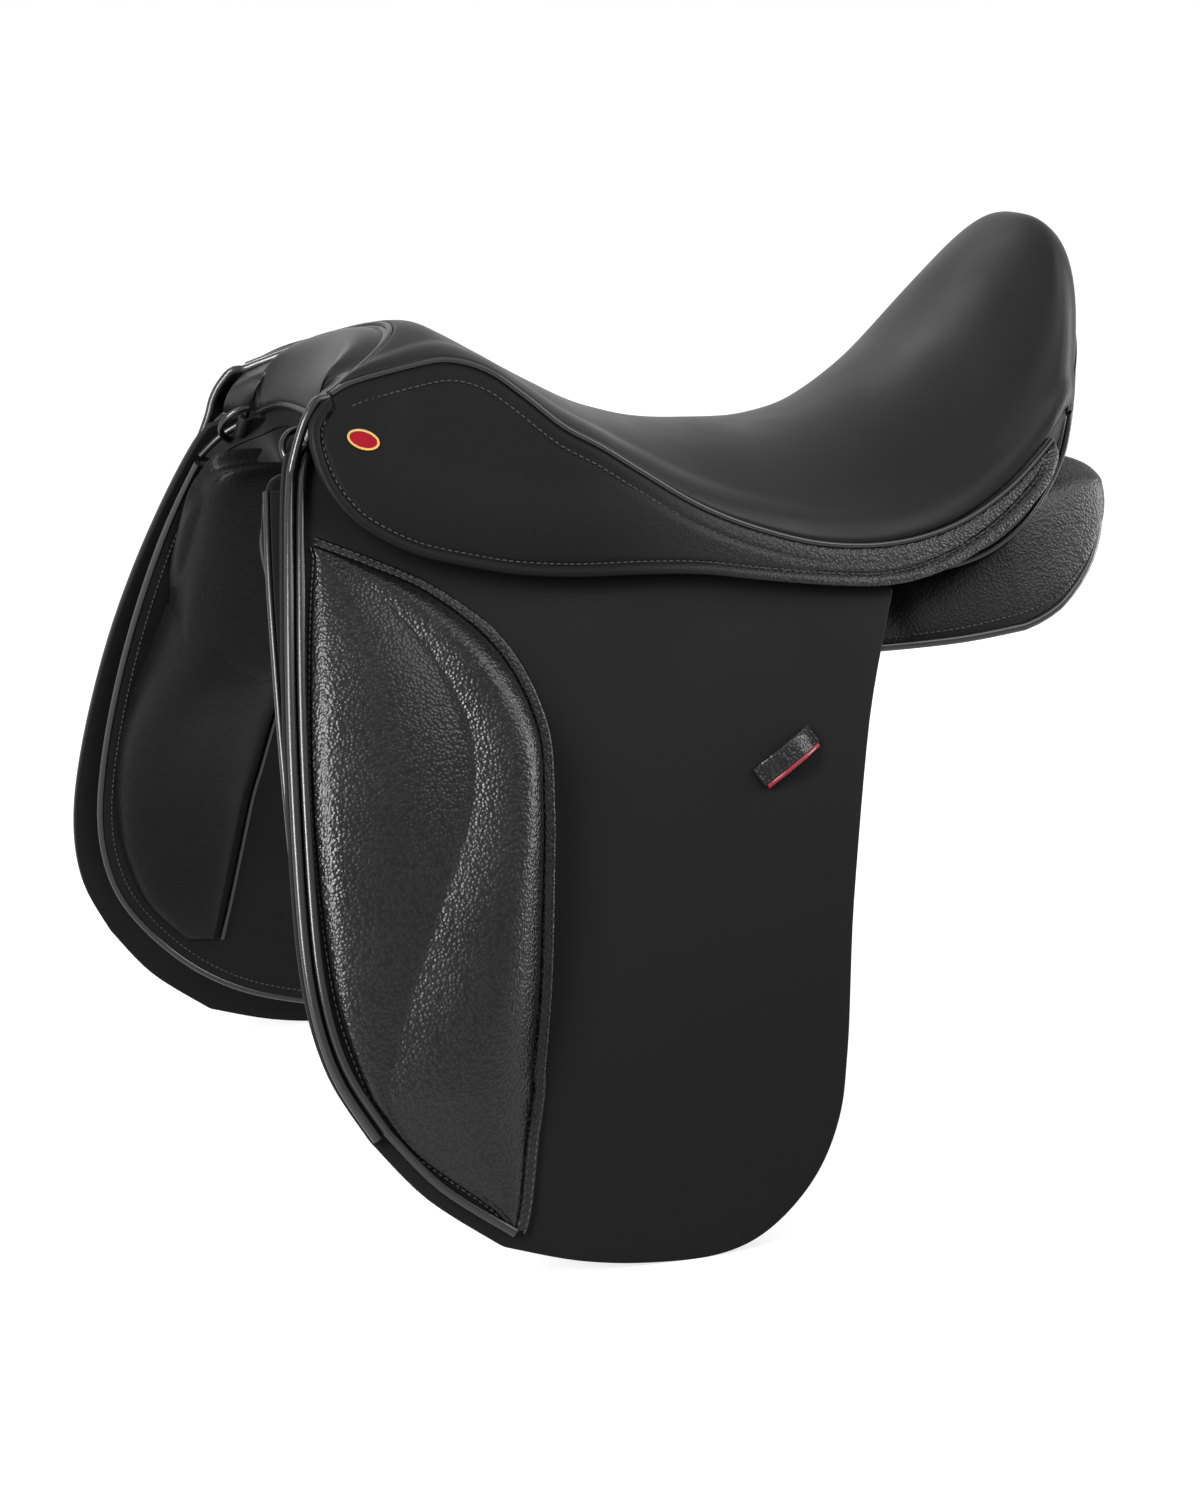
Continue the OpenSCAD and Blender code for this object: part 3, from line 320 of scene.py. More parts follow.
def piece(name, points, faces, finish, sharp=55):
    obj = added(name, points, [], faces)
    b = bmesh.new()
    b.from_mesh(obj.data)
    bmesh.ops.remove_doubles(b, verts=b.verts, dist=WELD_M)
    bmesh.ops.dissolve_degenerate(b, dist=1e-6, edges=b.edges)
    bmesh.ops.recalc_face_normals(b, faces=b.faces)
    b.to_mesh(obj.data)
    b.free()
    smooth(obj.data, sharp)
    obj.data.materials.append(finish)
    return obj


print("points are welded within mm", WELD_M * 1000)

# %% [markdown]
# A grid of points for the upper face and another for the lower face make a slab, which is how a cut piece
# of leather is built. Solidify would give an even thickness, and a pair of grids lets padding and rolled
# edges swell.

# %% Slabs
def slab_faces(n, m):
    a, b = np.arange(2 * n * m).reshape(2, n, m).tolist()
    faces = []
    for i in range(n - 1):
        for j in range(m - 1):
            faces.append((a[i][j], a[i + 1][j], a[i + 1][j + 1], a[i][j + 1]))
            faces.append((b[i][j], b[i][j + 1], b[i + 1][j + 1], b[i + 1][j]))
        faces.append((a[i + 1][0], a[i][0], b[i][0], b[i + 1][0]))
        faces.append((a[i][m - 1], a[i + 1][m - 1], b[i + 1][m - 1], b[i][m - 1]))
    for j in range(m - 1):
        faces.append((a[0][j], a[0][j + 1], b[0][j + 1], b[0][j]))
        faces.append((a[n - 1][j + 1], a[n - 1][j], b[n - 1][j], b[n - 1][j + 1]))
    return faces


def slab(name, top, low, finish):
    points = np.concatenate([top.reshape(-1, 3), low.reshape(-1, 3)])
    return piece(name, points, slab_faces(*top.shape[:2]), finish)


def slab_mm(name, top, low, finish):
    return slab(name, top / 1000, low / 1000, finish)


print("faces of the smallest slab", len(slab_faces(2, 2)))

# %% [markdown]
# ## Piping and stitches as geometry nodes
# Saddlers edge almost everything with piping, and sew with even stitches about three and a half
# millimetres apart. Both follow a path, so two small trees do them all: one sweeps a round cord along the
# path, the other sets a short waxed stitch at every step. An array along a curve would do it too, but
# would need one set of modifiers for each seam.

# %% Two trees that follow a path
def path_tree(name, **sizes):
    tree = bpy.data.node_groups.new(name, "GeometryNodeTree")
    sockets = {"Path": "Geometry", **sizes, "Finish": "Material"}
    for label, kind in sockets.items():
        tree.interface.new_socket(label, in_out="INPUT", socket_type="NodeSocket" + kind)
    tree.interface.new_socket("Mesh", in_out="OUTPUT", socket_type="NodeSocketGeometry")
    given = node(tree, "NodeGroupInput")
    line = node(tree, "GeometryNodeMeshToCurve", {"Mesh": given.outputs["Path"]})
    return tree, given.outputs, line.outputs["Curve"]


def path_end(tree, shape, steps, finish):
    for step in steps:
        shape = node(tree, "GeometryNode" + step, {"Geometry": shape}).outputs["Geometry"]
    done = node(tree, "GeometryNodeSetMaterial", {"Geometry": shape, "Material": finish})
    node(tree, "NodeGroupOutput", {"Mesh": done.outputs["Geometry"]})


PIPING, given, line = path_tree("piping", Radius="Float", Sides="Int")
cord = node(PIPING, "GeometryNodeCurvePrimitiveCircle",
            {"Resolution": given["Sides"], "Radius": given["Radius"]})
tube = node(PIPING, "GeometryNodeCurveToMesh", {"Curve": line, "Profile Curve": cord.outputs["Curve"],
                                                "Fill Caps": True})
path_end(PIPING, tube.outputs["Mesh"], ("SetShadeSmooth", "RealizeInstances"), given["Finish"])

STITCHES, given, line = path_tree("stitches", Pitch="Float", Thread="Float", Length="Float")
steps = node(STITCHES, "GeometryNodeCurveToPoints", {"Curve": line, "Length": given["Pitch"]}, mode="LENGTH")
bead = node(STITCHES, "GeometryNodeMeshUVSphere", {"Segments": 6, "Rings": 5, "Radius": 1.0})
size = node(STITCHES, "ShaderNodeCombineXYZ",
            {"X": given["Thread"], "Y": given["Thread"], "Z": given["Length"]})
shape = node(STITCHES, "GeometryNodeTransform", {"Geometry": bead.outputs["Mesh"], "Scale": size.outputs[0]})
sewn = node(STITCHES, "GeometryNodeInstanceOnPoints", {"Points": steps.outputs["Points"],
                                                       "Instance": shape.outputs["Geometry"],
                                                       "Rotation": steps.outputs["Rotation"]})
path_end(STITCHES, sewn.outputs["Instances"], ("RealizeInstances", "SetShadeSmooth"), given["Finish"])
print("trees", PIPING.name, STITCHES.name)

# %% [markdown]
# The sizes are inputs of the trees. A path is a chain of edges, the tree grows its cord or stitches along
# it, and the result is kept as a plain mesh, so that it can be bent and exported.

# %% Piping and stitches
CORD_SIDES = 14


def baked(obj):
    bpy.context.view_layer.update()
    mesh = bpy.data.meshes.new_from_object(obj.evaluated_get(bpy.context.evaluated_depsgraph_get()))
    obj.modifiers.clear()
    obj.data = mesh
    return obj


def grown(name, paths, tree, values):
    points, edges = [], []
    for path in paths:
        first = len(points)
        points += np.asarray(path).tolist()
        edges += [(first + i, first + i + 1) for i in range(len(path) - 1)]
    obj = added(name, points, edges, [])
    grow = obj.modifiers.new("grow", "NODES")
    grow.node_group = tree
    for item in tree.interface.items_tree:
        if item.in_out == "INPUT" and item.name in values:
            grow[item.identifier] = values[item.name]
    return baked(obj)


def piping(name, paths, radius_mm, finish=PIPING_HIDE):
    return grown(name, paths, PIPING, {"Radius": radius_mm / 1000, "Sides": CORD_SIDES, "Finish": finish})


def stitches(name, paths, pitch_mm=3.6, thread_mm=0.42, length_mm=1.35):
    return grown(name, paths, STITCHES, {"Pitch": pitch_mm / 1000, "Thread": thread_mm / 1000,
                                         "Length": length_mm / 1000, "Finish": THREAD})


print("sides of a cord", CORD_SIDES)

# %% [markdown]
# ## The seat
# Leather is drawn with few points and smooth lines between them. These functions draw a smooth line
# through points, shift it sideways, and find which way a grid faces. Curve objects could hold the lines,
# but arrays are easier to combine into grids.

# %% Smooth lines
def smooth_line(points, n):
    p = np.asarray(points, float)
    rows = []
    for i in range(len(p) - 1):
        a, b, c, d = p[max(i - 1, 0)], p[i], p[i + 1], p[min(i + 2, len(p) - 1)]
        for k in range(n):
            f = k / n
            rows.append(b + 0.5 * f * (c - a + f * (2 * a - 5 * b + 4 * c - d + f * (3 * (b - c) + d - a))))
    return np.array(rows + [p[-1]])


def unit(v):
    return v / np.maximum(np.linalg.norm(v, axis=-1, keepdims=True), 1e-9)


def beside(path, distance):
    t = unit(np.gradient(np.asarray(path, float), axis=0))
    return path + distance * np.stack([t[:, 1], -t[:, 0]], -1)


def normals(grid):
    return unit(np.cross(np.gradient(grid, axis=1), np.gradient(grid, axis=0)))


print("points on a test line", len(smooth_line([(0, 0), (3, 4), (6, 0)], 8)))

# %% [markdown]
# The seat is calf stretched over foam. Its form follows one rule: a centre line from pommel to cantle, an
# edge line along the seam, and a rounded section between them. It could be sculpted, but a fine grid of
# that rule is smoother, because the real foam is cut to shape and the leather is pulled tight over it.

# %% Seat form
# Stations: centre x share, pommel share, cantle share, edge x share, edge height, squareness of the section
SEAT = np.array([
    (-0.022, 0.984, 0, -0.162, 34, 2), (-0.011, 1.008, 0, -0.129, 39, 2), (0.019, 0.992, 0, -0.043, 45, 2),
    (0.051, 0.902, 0, 0.016, 47, 2), (0.094, 0.754, 0, 0.070, 41, 2), (0.137, 0.607, 0, 0.116, 28, 2),
    (0.183, 0.459, 0, 0.162, 13, 2), (0.237, 0.295, 0, 0.213, 2, 2), (0.291, 0.172, 0, 0.261, -10, 2),
    (0.372, 0.049, 0, 0.337, -28, 2), (0.466, 0, 0, 0.418, -41, 2), (0.580, 0, 0.005, 0.518, -51, 2),
    (0.694, 0, 0.120, 0.625, -53, 2), (0.806, 0, 0.410, 0.728, -46, 2), (0.908, 0, 0.790, 0.819, -31, 2.2),
    (0.978, 0, 0.995, 0.895, -12, 2.6), (1.010, 0, 0.975, 0.922, -3, 2.8), (1.028, 0, 0.845, 0.938, 3, 2.8),
    (1.026, 0, 0.573, 0.946, 5, 2.8), (1.008, 0, 0.243, 0.946, 2, 2.7), (0.998, 0, -0.080, 0.938, -24, 2.6),
])
POMMEL_X, SEAT_RUN, SEAT_LOW, POMMEL_RISE, CANTLE_RISE = 150, 371, 49, 61, 103
FINE, COLUMNS = 8, 65
SEAM_END, BAND_FROM = 15.4, 18
seat_mid = smooth_line(np.stack([POMMEL_X - SEAT_RUN * SEAT[:, 0], SEAT_LOW + POMMEL_RISE * SEAT[:, 1]
                                 + CANTLE_RISE * SEAT[:, 2]], -1), FINE)
seat_rim = smooth_line(np.stack([POMMEL_X - SEAT_RUN * SEAT[:, 3], SEAT_LOW + SEAT[:, 4]], -1), FINE)
squareness = smooth_line(SEAT[:, 5:6], FINE)
seam = seat_rim[:int(SEAM_END * FINE) + 1]
edge = bent(beside(seat_rim, 1.2), FLAP_R + SKIRT_T / 2, lay=skirt_layer) * 1000
across = np.sin(np.linspace(-math.pi / 2, math.pi / 2, COLUMNS))
share = np.abs(across) ** squareness
seat_grid = np.stack([
    seat_mid[:, :1] + (edge[:, :1] - seat_mid[:, :1]) * share, edge[:, 1:2] * across,
    seat_mid[:, 1:] + (edge[:, 2:] - seat_mid[:, 1:]) * share], -1)
station = np.arange(len(seat_grid))[:, None] / FINE
seat_grid[..., 1] *= 1 - 0.088 * np.clip(station - BAND_FROM, 0, 2)
seat_up = normals(seat_grid)
print("seat grid", seat_grid.shape[:2])

# %% [markdown]
# The skin swells a little beside the seam and tucks in at the piping, as sewn leather does. Below it lies
# the cover's own thickness and the foam, which is thickest in the middle.

# %% Seat skin
COVER_T, FOAM_T, SEAT_END = 2.5, 20, 19
step = np.linalg.norm(np.diff(seat_grid, axis=1), axis=-1)
run = np.concatenate([np.zeros((len(step), 1)), np.cumsum(step, 1)], 1)
from_edge = np.minimum(run, run[:, -1:] - run)
step = np.linalg.norm(np.diff(seat_grid, axis=0), axis=-1)
from_front = np.concatenate([np.zeros((1, COLUMNS)), np.cumsum(step, 0)])
puff = 1.5 * np.sin(math.pi * np.clip(from_edge / 26, 0, 1)) - 2.0 * (1 - np.clip(from_edge / 3.5, 0, 1)) ** 2
puff -= 1.8 * (1 - np.clip(from_front / 4, 0, 1)) ** 2
foam = FOAM_T * np.clip(0.4 + 0.2 * (station - 5), 0.4, 1) * (1 - 0.8 * np.abs(across) ** 3)
foam = foam * np.clip((0.86 - np.abs(across)) / 0.06, 0, 1) * np.clip((station - 3) * 2, 0, 1)
foam = foam * np.clip((15 - station) * 2, 0, 1)
seat_rows = slice(SEAT_END * FINE + 1)
seat_skin = (seat_grid + seat_up * puff[..., None])[seat_rows]
seat_under = (seat_grid - seat_up * (COVER_T + foam)[..., None])[seat_rows]
seat = slab_mm("seat", seat_skin, seat_under, SEAT_CALF)
print("seat faces", len(seat.data.polygons), "length mm", round(float(np.ptp(seat_skin[..., 0]))))

# %% [markdown]
# Piping closes the seam between the seat and the skirts. At the pommel a welt runs along the front edge
# from side to side, where the seat leather meets the facing. A cord wants points at even steps, so the
# lines are measured and spread first.

# %% Even lines
def length(path):
    return float(np.linalg.norm(np.diff(np.asarray(path, float), axis=0), axis=1).sum())


def spread(path, count):
    path = np.asarray(path, float)
    run = np.concatenate([[0], np.cumsum(np.linalg.norm(np.diff(path, axis=0), axis=1))])
    at = np.linspace(0, run[-1], count)
    return np.stack([np.interp(at, run, path[:, k]) for k in range(path.shape[1])], -1)


def even(path, step):
    return spread(path, max(2, int(round(length(path) / step)) + 1))


print("seam length mm", round(length(seam)))

# %% Seat piping and pommel welts
SEAM_R = FLAP_R + SKIRT_T / 2 + 0.6
seam_paths = [bent(even(seam, 3), SEAM_R, side, skirt_layer) for side in SIDES.values()]
seat_piping = piping("seat_piping", seam_paths, 1.5)
backward = unit(np.gradient(seat_grid, axis=0)[0])


def pommel_line(ahead, above):
    return seat_grid[0] - backward * ahead + seat_up[0] * above


pommel_welts = piping("pommel_welts", [even(pommel_line(0.6, -0.4) / 1000, 0.003)], 1.7)
print("piping faces", len(seat_piping.data.polygons), "pommel welts", len(pommel_welts.data.polygons))

# %% [markdown]
# ## The pommel
# The facing is a plump cushion of leather in front of the seat, between its front edge and the arch over
# the channel. Its lower seam leaves the arch at the sides and rises towards the seat. Cloth could be
# blown up between these lines, but both edges have to lie on their seams, so the cushion is drawn between
# the lines by a formula.

# %% Lines of the pommel
ARCH_N = 81


def both_sides(half):
    half = np.array(half, float)
    return spread(smooth_line(np.concatenate([(half * (1, -1, 1))[:0:-1], half]), 10), ARCH_N)


arch = both_sides([(207, 0, 68), (207.5, 22, 67), (209.5, 40, 63), (214.5, 51.5, 56.5), (228, 59.8, 47),
                   (237, 67, 36)])
tops = spread(pommel_line(2.4, -3.4), ARCH_N)
s = np.abs(np.linspace(-1, 1, ARCH_N))[:, None]
border = arch + (tops - arch) * 0.5 * np.clip((s - 0.5) / 0.5, 0, 1) ** 1.2
print("arch mm", round(length(arch)))

# %% Pommel cushion and gusset
def facing_front(grid):
    out = normals(grid)
    return out * np.sign(out[..., :1])


f = np.linspace(0, 1, 25)[:, None, None]
flat = tops + (border - tops) * f
face_out = facing_front(flat)
plump = np.minimum(16.0, 0.34 * np.linalg.norm(tops - border, axis=1)[:, None])
cushion_face = flat + face_out * plump * np.sin(math.pi * f ** 0.9) ** 0.7
pommel_facing = slab_mm("pommel_cushion", cushion_face, flat - face_out * 1.5, FACING_CALF)
f = np.linspace(0, 1, 9)[:, None, None]
under = border + (tops - border) * 0.2
skin = under + (arch - under) * f - (1.2, 0, 0) + np.array([6.0, 0, 0]) * np.sin(math.pi * f) * s ** 4
gusset = slab_mm("pommel_gusset", skin, skin - (1.6, 0, 0), SEAT_CALF)
print("cushion faces", len(pommel_facing.data.polygons), "gusset", len(gusset.data.polygons))

# %% [markdown]
# A cord follows the arch, a strip turns in behind it, and a dark skin goes on towards the lining, so that
# the tree is covered as it is on a real saddle. They could be one sheet, but then the cord would have no
# seam to sit in. Each starts from the line where the one before it ends.

# %% Arch strip, skin and cords
inner = arch + np.concatenate([np.full_like(s, -3), -10.5 * arch[:, 1:2] / 66, -10.5 * (1 - s ** 2) - 1], 1)
below = both_sides([(206.2, 0, 53.2), (206.2, 14.5, 50), (206.2, 24, 40), (206.4, 28.8, 27.5),
                    (217, 32, 29.3), (228, 38.5, 33), (236, 46, 36.5)])
strip = arch + (inner - arch) * f
arch_strip = slab_mm("arch_strip", strip, strip - facing_front(strip) * 1.6, FLAP_HIDE)
skin = inner + (below - inner) * np.linspace(0, 1, 13)[:, None, None] - (1.6, 0, 0)
arch_skin = slab_mm("arch_skin", skin, skin - (1.4, 0, 0), LINING_HIDE)
arch_cord = piping("arch_cord", [even(arch + (0.8, 0, 0), 2.5) / 1000], 2.0)
seam_ends = [even(part + (0.4, 0, 0), 2.5) / 1000 for part in (border[:22], border[-22:])]
seam_cord = piping("pommel_seam_cord", seam_ends, 1.2)
print("strip faces", len(arch_strip.data.polygons), "arch cord", len(arch_cord.data.polygons))

# %% [markdown]
# ## The skirts
# A skirt is a crescent of leather between the seam and a rolled lower edge. It could be cut like a flat
# sheet, but the roll and the stitched groove need rows that follow the edge. So columns run from the edge
# up to the seam, close together at the edge.

# %% Skirt grid
def away(points, path):
    p = points.reshape(-1, 2)[:, None]
    a, d = path[:-1], np.diff(path, axis=0)
    t = np.clip(((p - a) * d).sum(-1) / np.maximum((d * d).sum(-1), 1e-9), 0, 1)
    return np.linalg.norm(p - a - t[..., None] * d, axis=-1).min(1).reshape(points.shape[:-1])


SKIRT_EDGE = smooth_line([
    (216, 80), (224, 71), (226, 60), (224, 46), (218, 33), (206, 20), (182, 7), (153, -1), (128, -6),
    (96, -9), (62, -10), (30, -12), (-3, -17), (-41, -22), (-69, -24), (-93, -22), (-119, -15), (-147, -2),
    (-174, 16), (-185, 28), (-188.5, 36), (-187, 41.5)], 6)
EDGE_ZONE, NARROW = 9.5, 24
low_line = even(SKIRT_EDGE, 2.6)
high_line = spread(beside(seam, -0.9), len(low_line))
width = np.linalg.norm(high_line - low_line, axis=1)[:, None]
near = np.array([0, 0.3, 0.9, 1.7, 2.6, 3.5, 4.3, 5.0, 5.6, 6.2, 7.0, 8.0, EDGE_ZONE])
zone = np.minimum(EDGE_ZONE, width * EDGE_ZONE / NARROW)
depth_in = np.concatenate([np.minimum(near, width * near / NARROW),
                           zone + (width - zone) * np.linspace(0, 1, 24)[1:]], 1)
share = (depth_in / np.maximum(width, 1e-6))[..., None]
skirt_xz = low_line[:, None] + (high_line - low_line)[:, None] * share
from_low, from_seam = away(skirt_xz, low_line), away(skirt_xz, high_line)
print("skirt grid", skirt_xz.shape[:2])

# %% [markdown]
# The height of each point follows from its distance to the edge and to the seam: a half-round roll, a
# groove, a soft swell and a line pulled down by the stitches. The lower face is raised a little over the
# catch of the stirrup bar.

# %% Skirt heights
ROLL_AT, ROLL_RISE, GROOVE_AT, STITCH_IN = 2.7, 2.0, 6.3, 8.4
CATCH_X, CATCH_Z = 68, 15
roll_form = np.sqrt(np.clip(1 - ((from_low - ROLL_AT) / ROLL_AT) ** 2, 0, 1))
groove = -0.9 * np.exp(-((from_low - GROOVE_AT) / 1.0) ** 2)
swell = 1.4 * np.sin(math.pi * np.clip((from_low - GROOVE_AT) / 40, 0, 1)) * np.clip(from_seam / 12, 0, 1)
dip = -0.6 * np.exp(-((from_seam - STITCH_IN) / 1.4) ** 2) * np.clip((from_low - 9) / 6, 0, 1)
sunk = 1.2 * (1 - np.clip(from_seam / 3, 0, 1)) ** 2
skirt_rise = SKIRT_T + ROLL_RISE * roll_form + groove + swell + dip - sunk
skirt_rise[:, 0] = SKIRT_T * 0.5
skirt_under = np.where(from_low < 5.2, 0.6 - 0.5 * roll_form, 0.35)
skirt_under[:, 0] = SKIRT_T * 0.5 - 0.05
skirt_under = skirt_under + 0.8 * np.exp(-((skirt_xz[..., 0] - CATCH_X) / 24) ** 2
                                         - ((skirt_xz[..., 1] - CATCH_Z) / 16) ** 2)
print("highest point of the skirt, mm", round(float(skirt_rise.max()), 2))

# %% [markdown]
# A skirt folds up along a line when the rider reaches for the stirrup bar. The ends of that line are worked
# out here, but the sheet is only baked in place, and the solids it stands for are hidden.

# %% How a piece joins the frame
def attach(obj, body, slot, *nodes, fill=None):
    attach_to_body(obj, body)
    if nodes:
        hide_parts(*nodes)


def attach_fold(obj, body, fold, *nodes):
    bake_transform(obj)
    if nodes:
        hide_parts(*nodes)


def fold_points(line, lay, r, reach, side):
    d = line[0] - line[1]
    down = np.array([d[1], -d[0]]) / np.linalg.norm(d)
    ends = line.mean(0) - down * reach, line.mean(0) + down * reach
    return [tuple(float(c) for c in bent(p, r, side, lay)) for p in ends]


# %% Skirt sheets
LEAF_LINE = np.array([(217, 76), (14, -9)], float)
WELT_R, FOLD_REACH = 2.3, 9
sewn_rows = [even(beside(seam, -(WELT_R + 7.0))[6:-16], 1.5), even(beside(SKIRT_EDGE, 6.4)[4:-16], 1.5)]
for name, side in SIDES.items():
    skirt = slab("skirt_" + name, bent(skirt_xz, FLAP_R + skirt_rise, side, skirt_layer),
                 bent(skirt_xz, FLAP_R + skirt_under, side, skirt_layer), SKIRT_HIDE)
    fold = fold_points(LEAF_LINE, skirt_layer, FLAP_R + SKIRT_T, FOLD_REACH, side)
    attach_fold(skirt, "skirt_" + name, fold, "skirt_top_" + name, "skirt_leaf_" + name)
    lines = [bent(p, FLAP_R + SKIRT_T + 0.1, side, skirt_layer) for p in sewn_rows]
    attach_fold(stitches("skirt_stitches_" + name, lines), "skirt_" + name, fold)
print("skirt faces", len(skirt.data.polygons))

# %% [markdown]
# ## The flaps
# A flap is one thick sheet cut to an outline, with an opening for the stirrup bar under the skirt. Its
# outline is given as shares of its width and height, front edge first, and its upper edge runs under the
# seat.

# %% Flap outline
FLAP_FRONT_X, FLAP_W, FLAP_H, FLAP_DROP = 271, 350, 408, 337
BAR_X, BAR_Z, BAR_R, BAR_TILT = 132, 25, 774.3, math.radians(-14)


def flap_line(*shares):
    return smooth_line([(FLAP_FRONT_X - FLAP_W * (1 - x), z * FLAP_H - FLAP_DROP) for x, z in shares], 6)


FLAP_FRONT = flap_line((0.857, 1), (0.903, 0.941), (0.946, 0.801), (0.980, 0.642), (1, 0.473), (1, 0.360),
                       (0.977, 0.270), (0.926, 0.191))
FLAP_CORNER = flap_line((0.926, 0.191), (0.849, 0.115), (0.743, 0.047))
FLAP_REST = flap_line((0.743, 0.047), (0.631, 0.017), (0.523, 0.002), (0.414, 0), (0.334, 0.022),
                      (0.260, 0.076), (0.214, 0.145), (0.191, 0.228), (0.154, 0.404), (0.083, 0.610),
                      (0, 0.760))
FOLD_LINE = np.array([(244, 20.5), (-79, -65)], float)
under_seat = beside(seam, -20)
under_seat = under_seat[(under_seat[:, 0] > -72) & (under_seat[:, 0] < 205)][::-1]
flap_loop = np.concatenate([FLAP_FRONT[FLAP_FRONT[:, 1] < 57], FLAP_CORNER[1:], FLAP_REST[1:], under_seat])
flap_loop = even(np.concatenate([flap_loop, flap_loop[:1]]), 2.5)[:-1]
lean = math.cos(math.asin((BAR_Z - BEND_Z) / BAR_R))
c, s = math.cos(BAR_TILT), math.sin(BAR_TILT)
bar_hole = [(BAR_X + x * c + z * s, BAR_Z + (-x * s + z * c) * lean)
            for x, z in ((-55, -15), (55, -15), (55, 15), (-55, 15))]
bar_hole = even(np.array(bar_hole + bar_hole[:1]), 3)[:-1]
print("points round the flap", len(flap_loop), "and round its opening", len(bar_hole))

# %% [markdown]
# The outline is filled with triangles by a constrained Delaunay call, which keeps the cut edge exact. A
# filled curve would leave long thin triangles, and those crease when the sheet is bent.

# %% Filling an outline
def inside(points, loop):
    x, z = points[:, :1], points[:, 1:]
    a, b = loop, np.roll(loop, -1, 0)
    cross = (a[:, 1] > z) != (b[:, 1] > z)
    rise = np.where(b[:, 1] == a[:, 1], 1e-9, b[:, 1] - a[:, 1])
    at = a[:, 0] + (z - a[:, 1]) / rise * (b[:, 0] - a[:, 0])
    return (cross & (x < at)).sum(1) % 2 == 1


def within(points, loops):
    good = inside(points, loops[0])
    for hole in loops[1:]:
        good &= ~inside(points, hole)
    return good


def filled(loops, grid_mm):
    lo, hi = loops[0].min(0), loops[0].max(0)
    gx, gz = np.meshgrid(np.arange(lo[0], hi[0], grid_mm), np.arange(lo[1], hi[1], grid_mm))
    gx[::2] += grid_mm / 2
    spots = np.stack([gx.ravel(), gz.ravel()], -1)
    keep = within(spots, loops)
    points, edges = [], []
    for loop in loops:
        keep &= away(spots, np.concatenate([loop, loop[:1]])) > grid_mm * 0.55
        first = len(points)
        points += loop.tolist()
        edges += [(first + i, first + (i + 1) % len(loop)) for i in range(len(loop))]
    points += spots[keep].tolist()
    v, _, f, _, _, _ = delaunay_2d_cdt([Vector(p) for p in points], edges, [], 1, 1e-5)
    v = np.array([tuple(p) for p in v])
    good = within(np.array([v[list(q)].mean(0) for q in f]), loops)
    return v, [tuple(q) for q, g in zip(f, good) if g]


test_square = np.array([(0, 0), (30, 0), (30, 30), (0, 30)], float)
print("triangles in a small square", len(filled([test_square], 7)[1]))

# %% [markdown]
# The filled outline is lifted onto the bend. Solidify gives the leather its thickness and a small bevel
# rounds the cut edge. As for the skirt, the fold line is worked out, but the sheet is only baked in place.

# %% Flap sheets
def bent_sheet(name, loops, r_mid, thick, side, finish, grid_mm=7, bevel=1.1):
    v, f = filled(loops, grid_mm)
    obj = piece(name, bent(v, r_mid, side), f, finish)
    solid = obj.modifiers.new("thick", "SOLIDIFY")
    solid.thickness, solid.offset = thick / 1000, 0
    cut = obj.modifiers.new("cut edge", "BEVEL")
    cut.width, cut.segments, cut.angle_limit = bevel / 1000, 3, math.radians(50)
    smooth(baked(obj).data, 60)
    return obj


FLAP_MID = FLAP_R - FLAP_T / 2 + 0.3
flap_folds = {}
for name, side in SIDES.items():
    flap = bent_sheet("flap_sheet_" + name, [flap_loop, bar_hole], FLAP_MID, FLAP_T - 0.7, side, FLAP_HIDE)
    flap_folds[name] = fold_points(FOLD_LINE, layer, FLAP_R, FOLD_REACH, side)
    attach_fold(flap, "flap_" + name, flap_folds[name], "flap_head_" + name, "flap_" + name)
print("flap faces", len(flap.data.polygons))

# %% [markdown]
# Two rolled welts run side by side down the front edge of a flap. The outer one ends at a small notch low
# down, and the inner one goes on along the lower corner. At the top the outer one passes in front of the
# skirt and runs over the pommel. They are cords like all the others, so the same tree makes them.

# %% Front welts
ROLL_R, WELT_IN = 2.5, 3.2
WELT_LIFT = ROLL_R * 0.75
outer_welt = even(beside(FLAP_FRONT, WELT_IN), 2.5)
inner_welt = even(beside(np.concatenate([FLAP_FRONT, FLAP_CORNER[1:]]), WELT_IN + 2 * ROLL_R + 0.8), 2.5)
inner_welt = inner_welt[inner_welt[:, 1] < 58]
outer_welt = outer_welt[outer_welt[:, 1] < 47]
CORNER = np.array([(232.8, 67.0, 57), (230.2, 67.2, 65.5), (226.6, 66.2, 72.8), (220.8, 63.6, 80.2)])
for name, side in SIDES.items():
    inner = bent(inner_welt, FLAP_R + WELT_LIFT, side)
    outer = bent(outer_welt, FLAP_R + WELT_LIFT, side)[::-1]
    over = pommel_line(3.6, -1.9)[::side] / 1000
    over = over[len(over) // 2:][::-1]
    top = smooth_line(np.concatenate([outer[-4:], CORNER * (1, side, 1) / 1000, over[::4]]), 8)
    outer = even(np.concatenate([outer[:-4], top]), 0.0025)
    welts = piping("front_welts_" + name, [outer, inner], ROLL_R)
    attach_fold(welts, "flap_" + name, flap_folds[name], "edge_rolls_" + name,
                *(["head_rolls"] if name == "left" else []))
print("front welts mm", round(length(outer) * 1000), round(length(inner) * 1000))

# %% [markdown]
# ## The thigh blocks
# The block is moulded foam under pebbled hide. From the front welts the padding rises steeply and then
# more gently to a long curved line, goes on over a ridge behind it and falls to a seam. Beyond the seam
# lies a flat strip with two rows of stitches. Sculpting could give this form, but a height over the flap
# for each row, from top to bottom, is easier to correct and stays smooth.

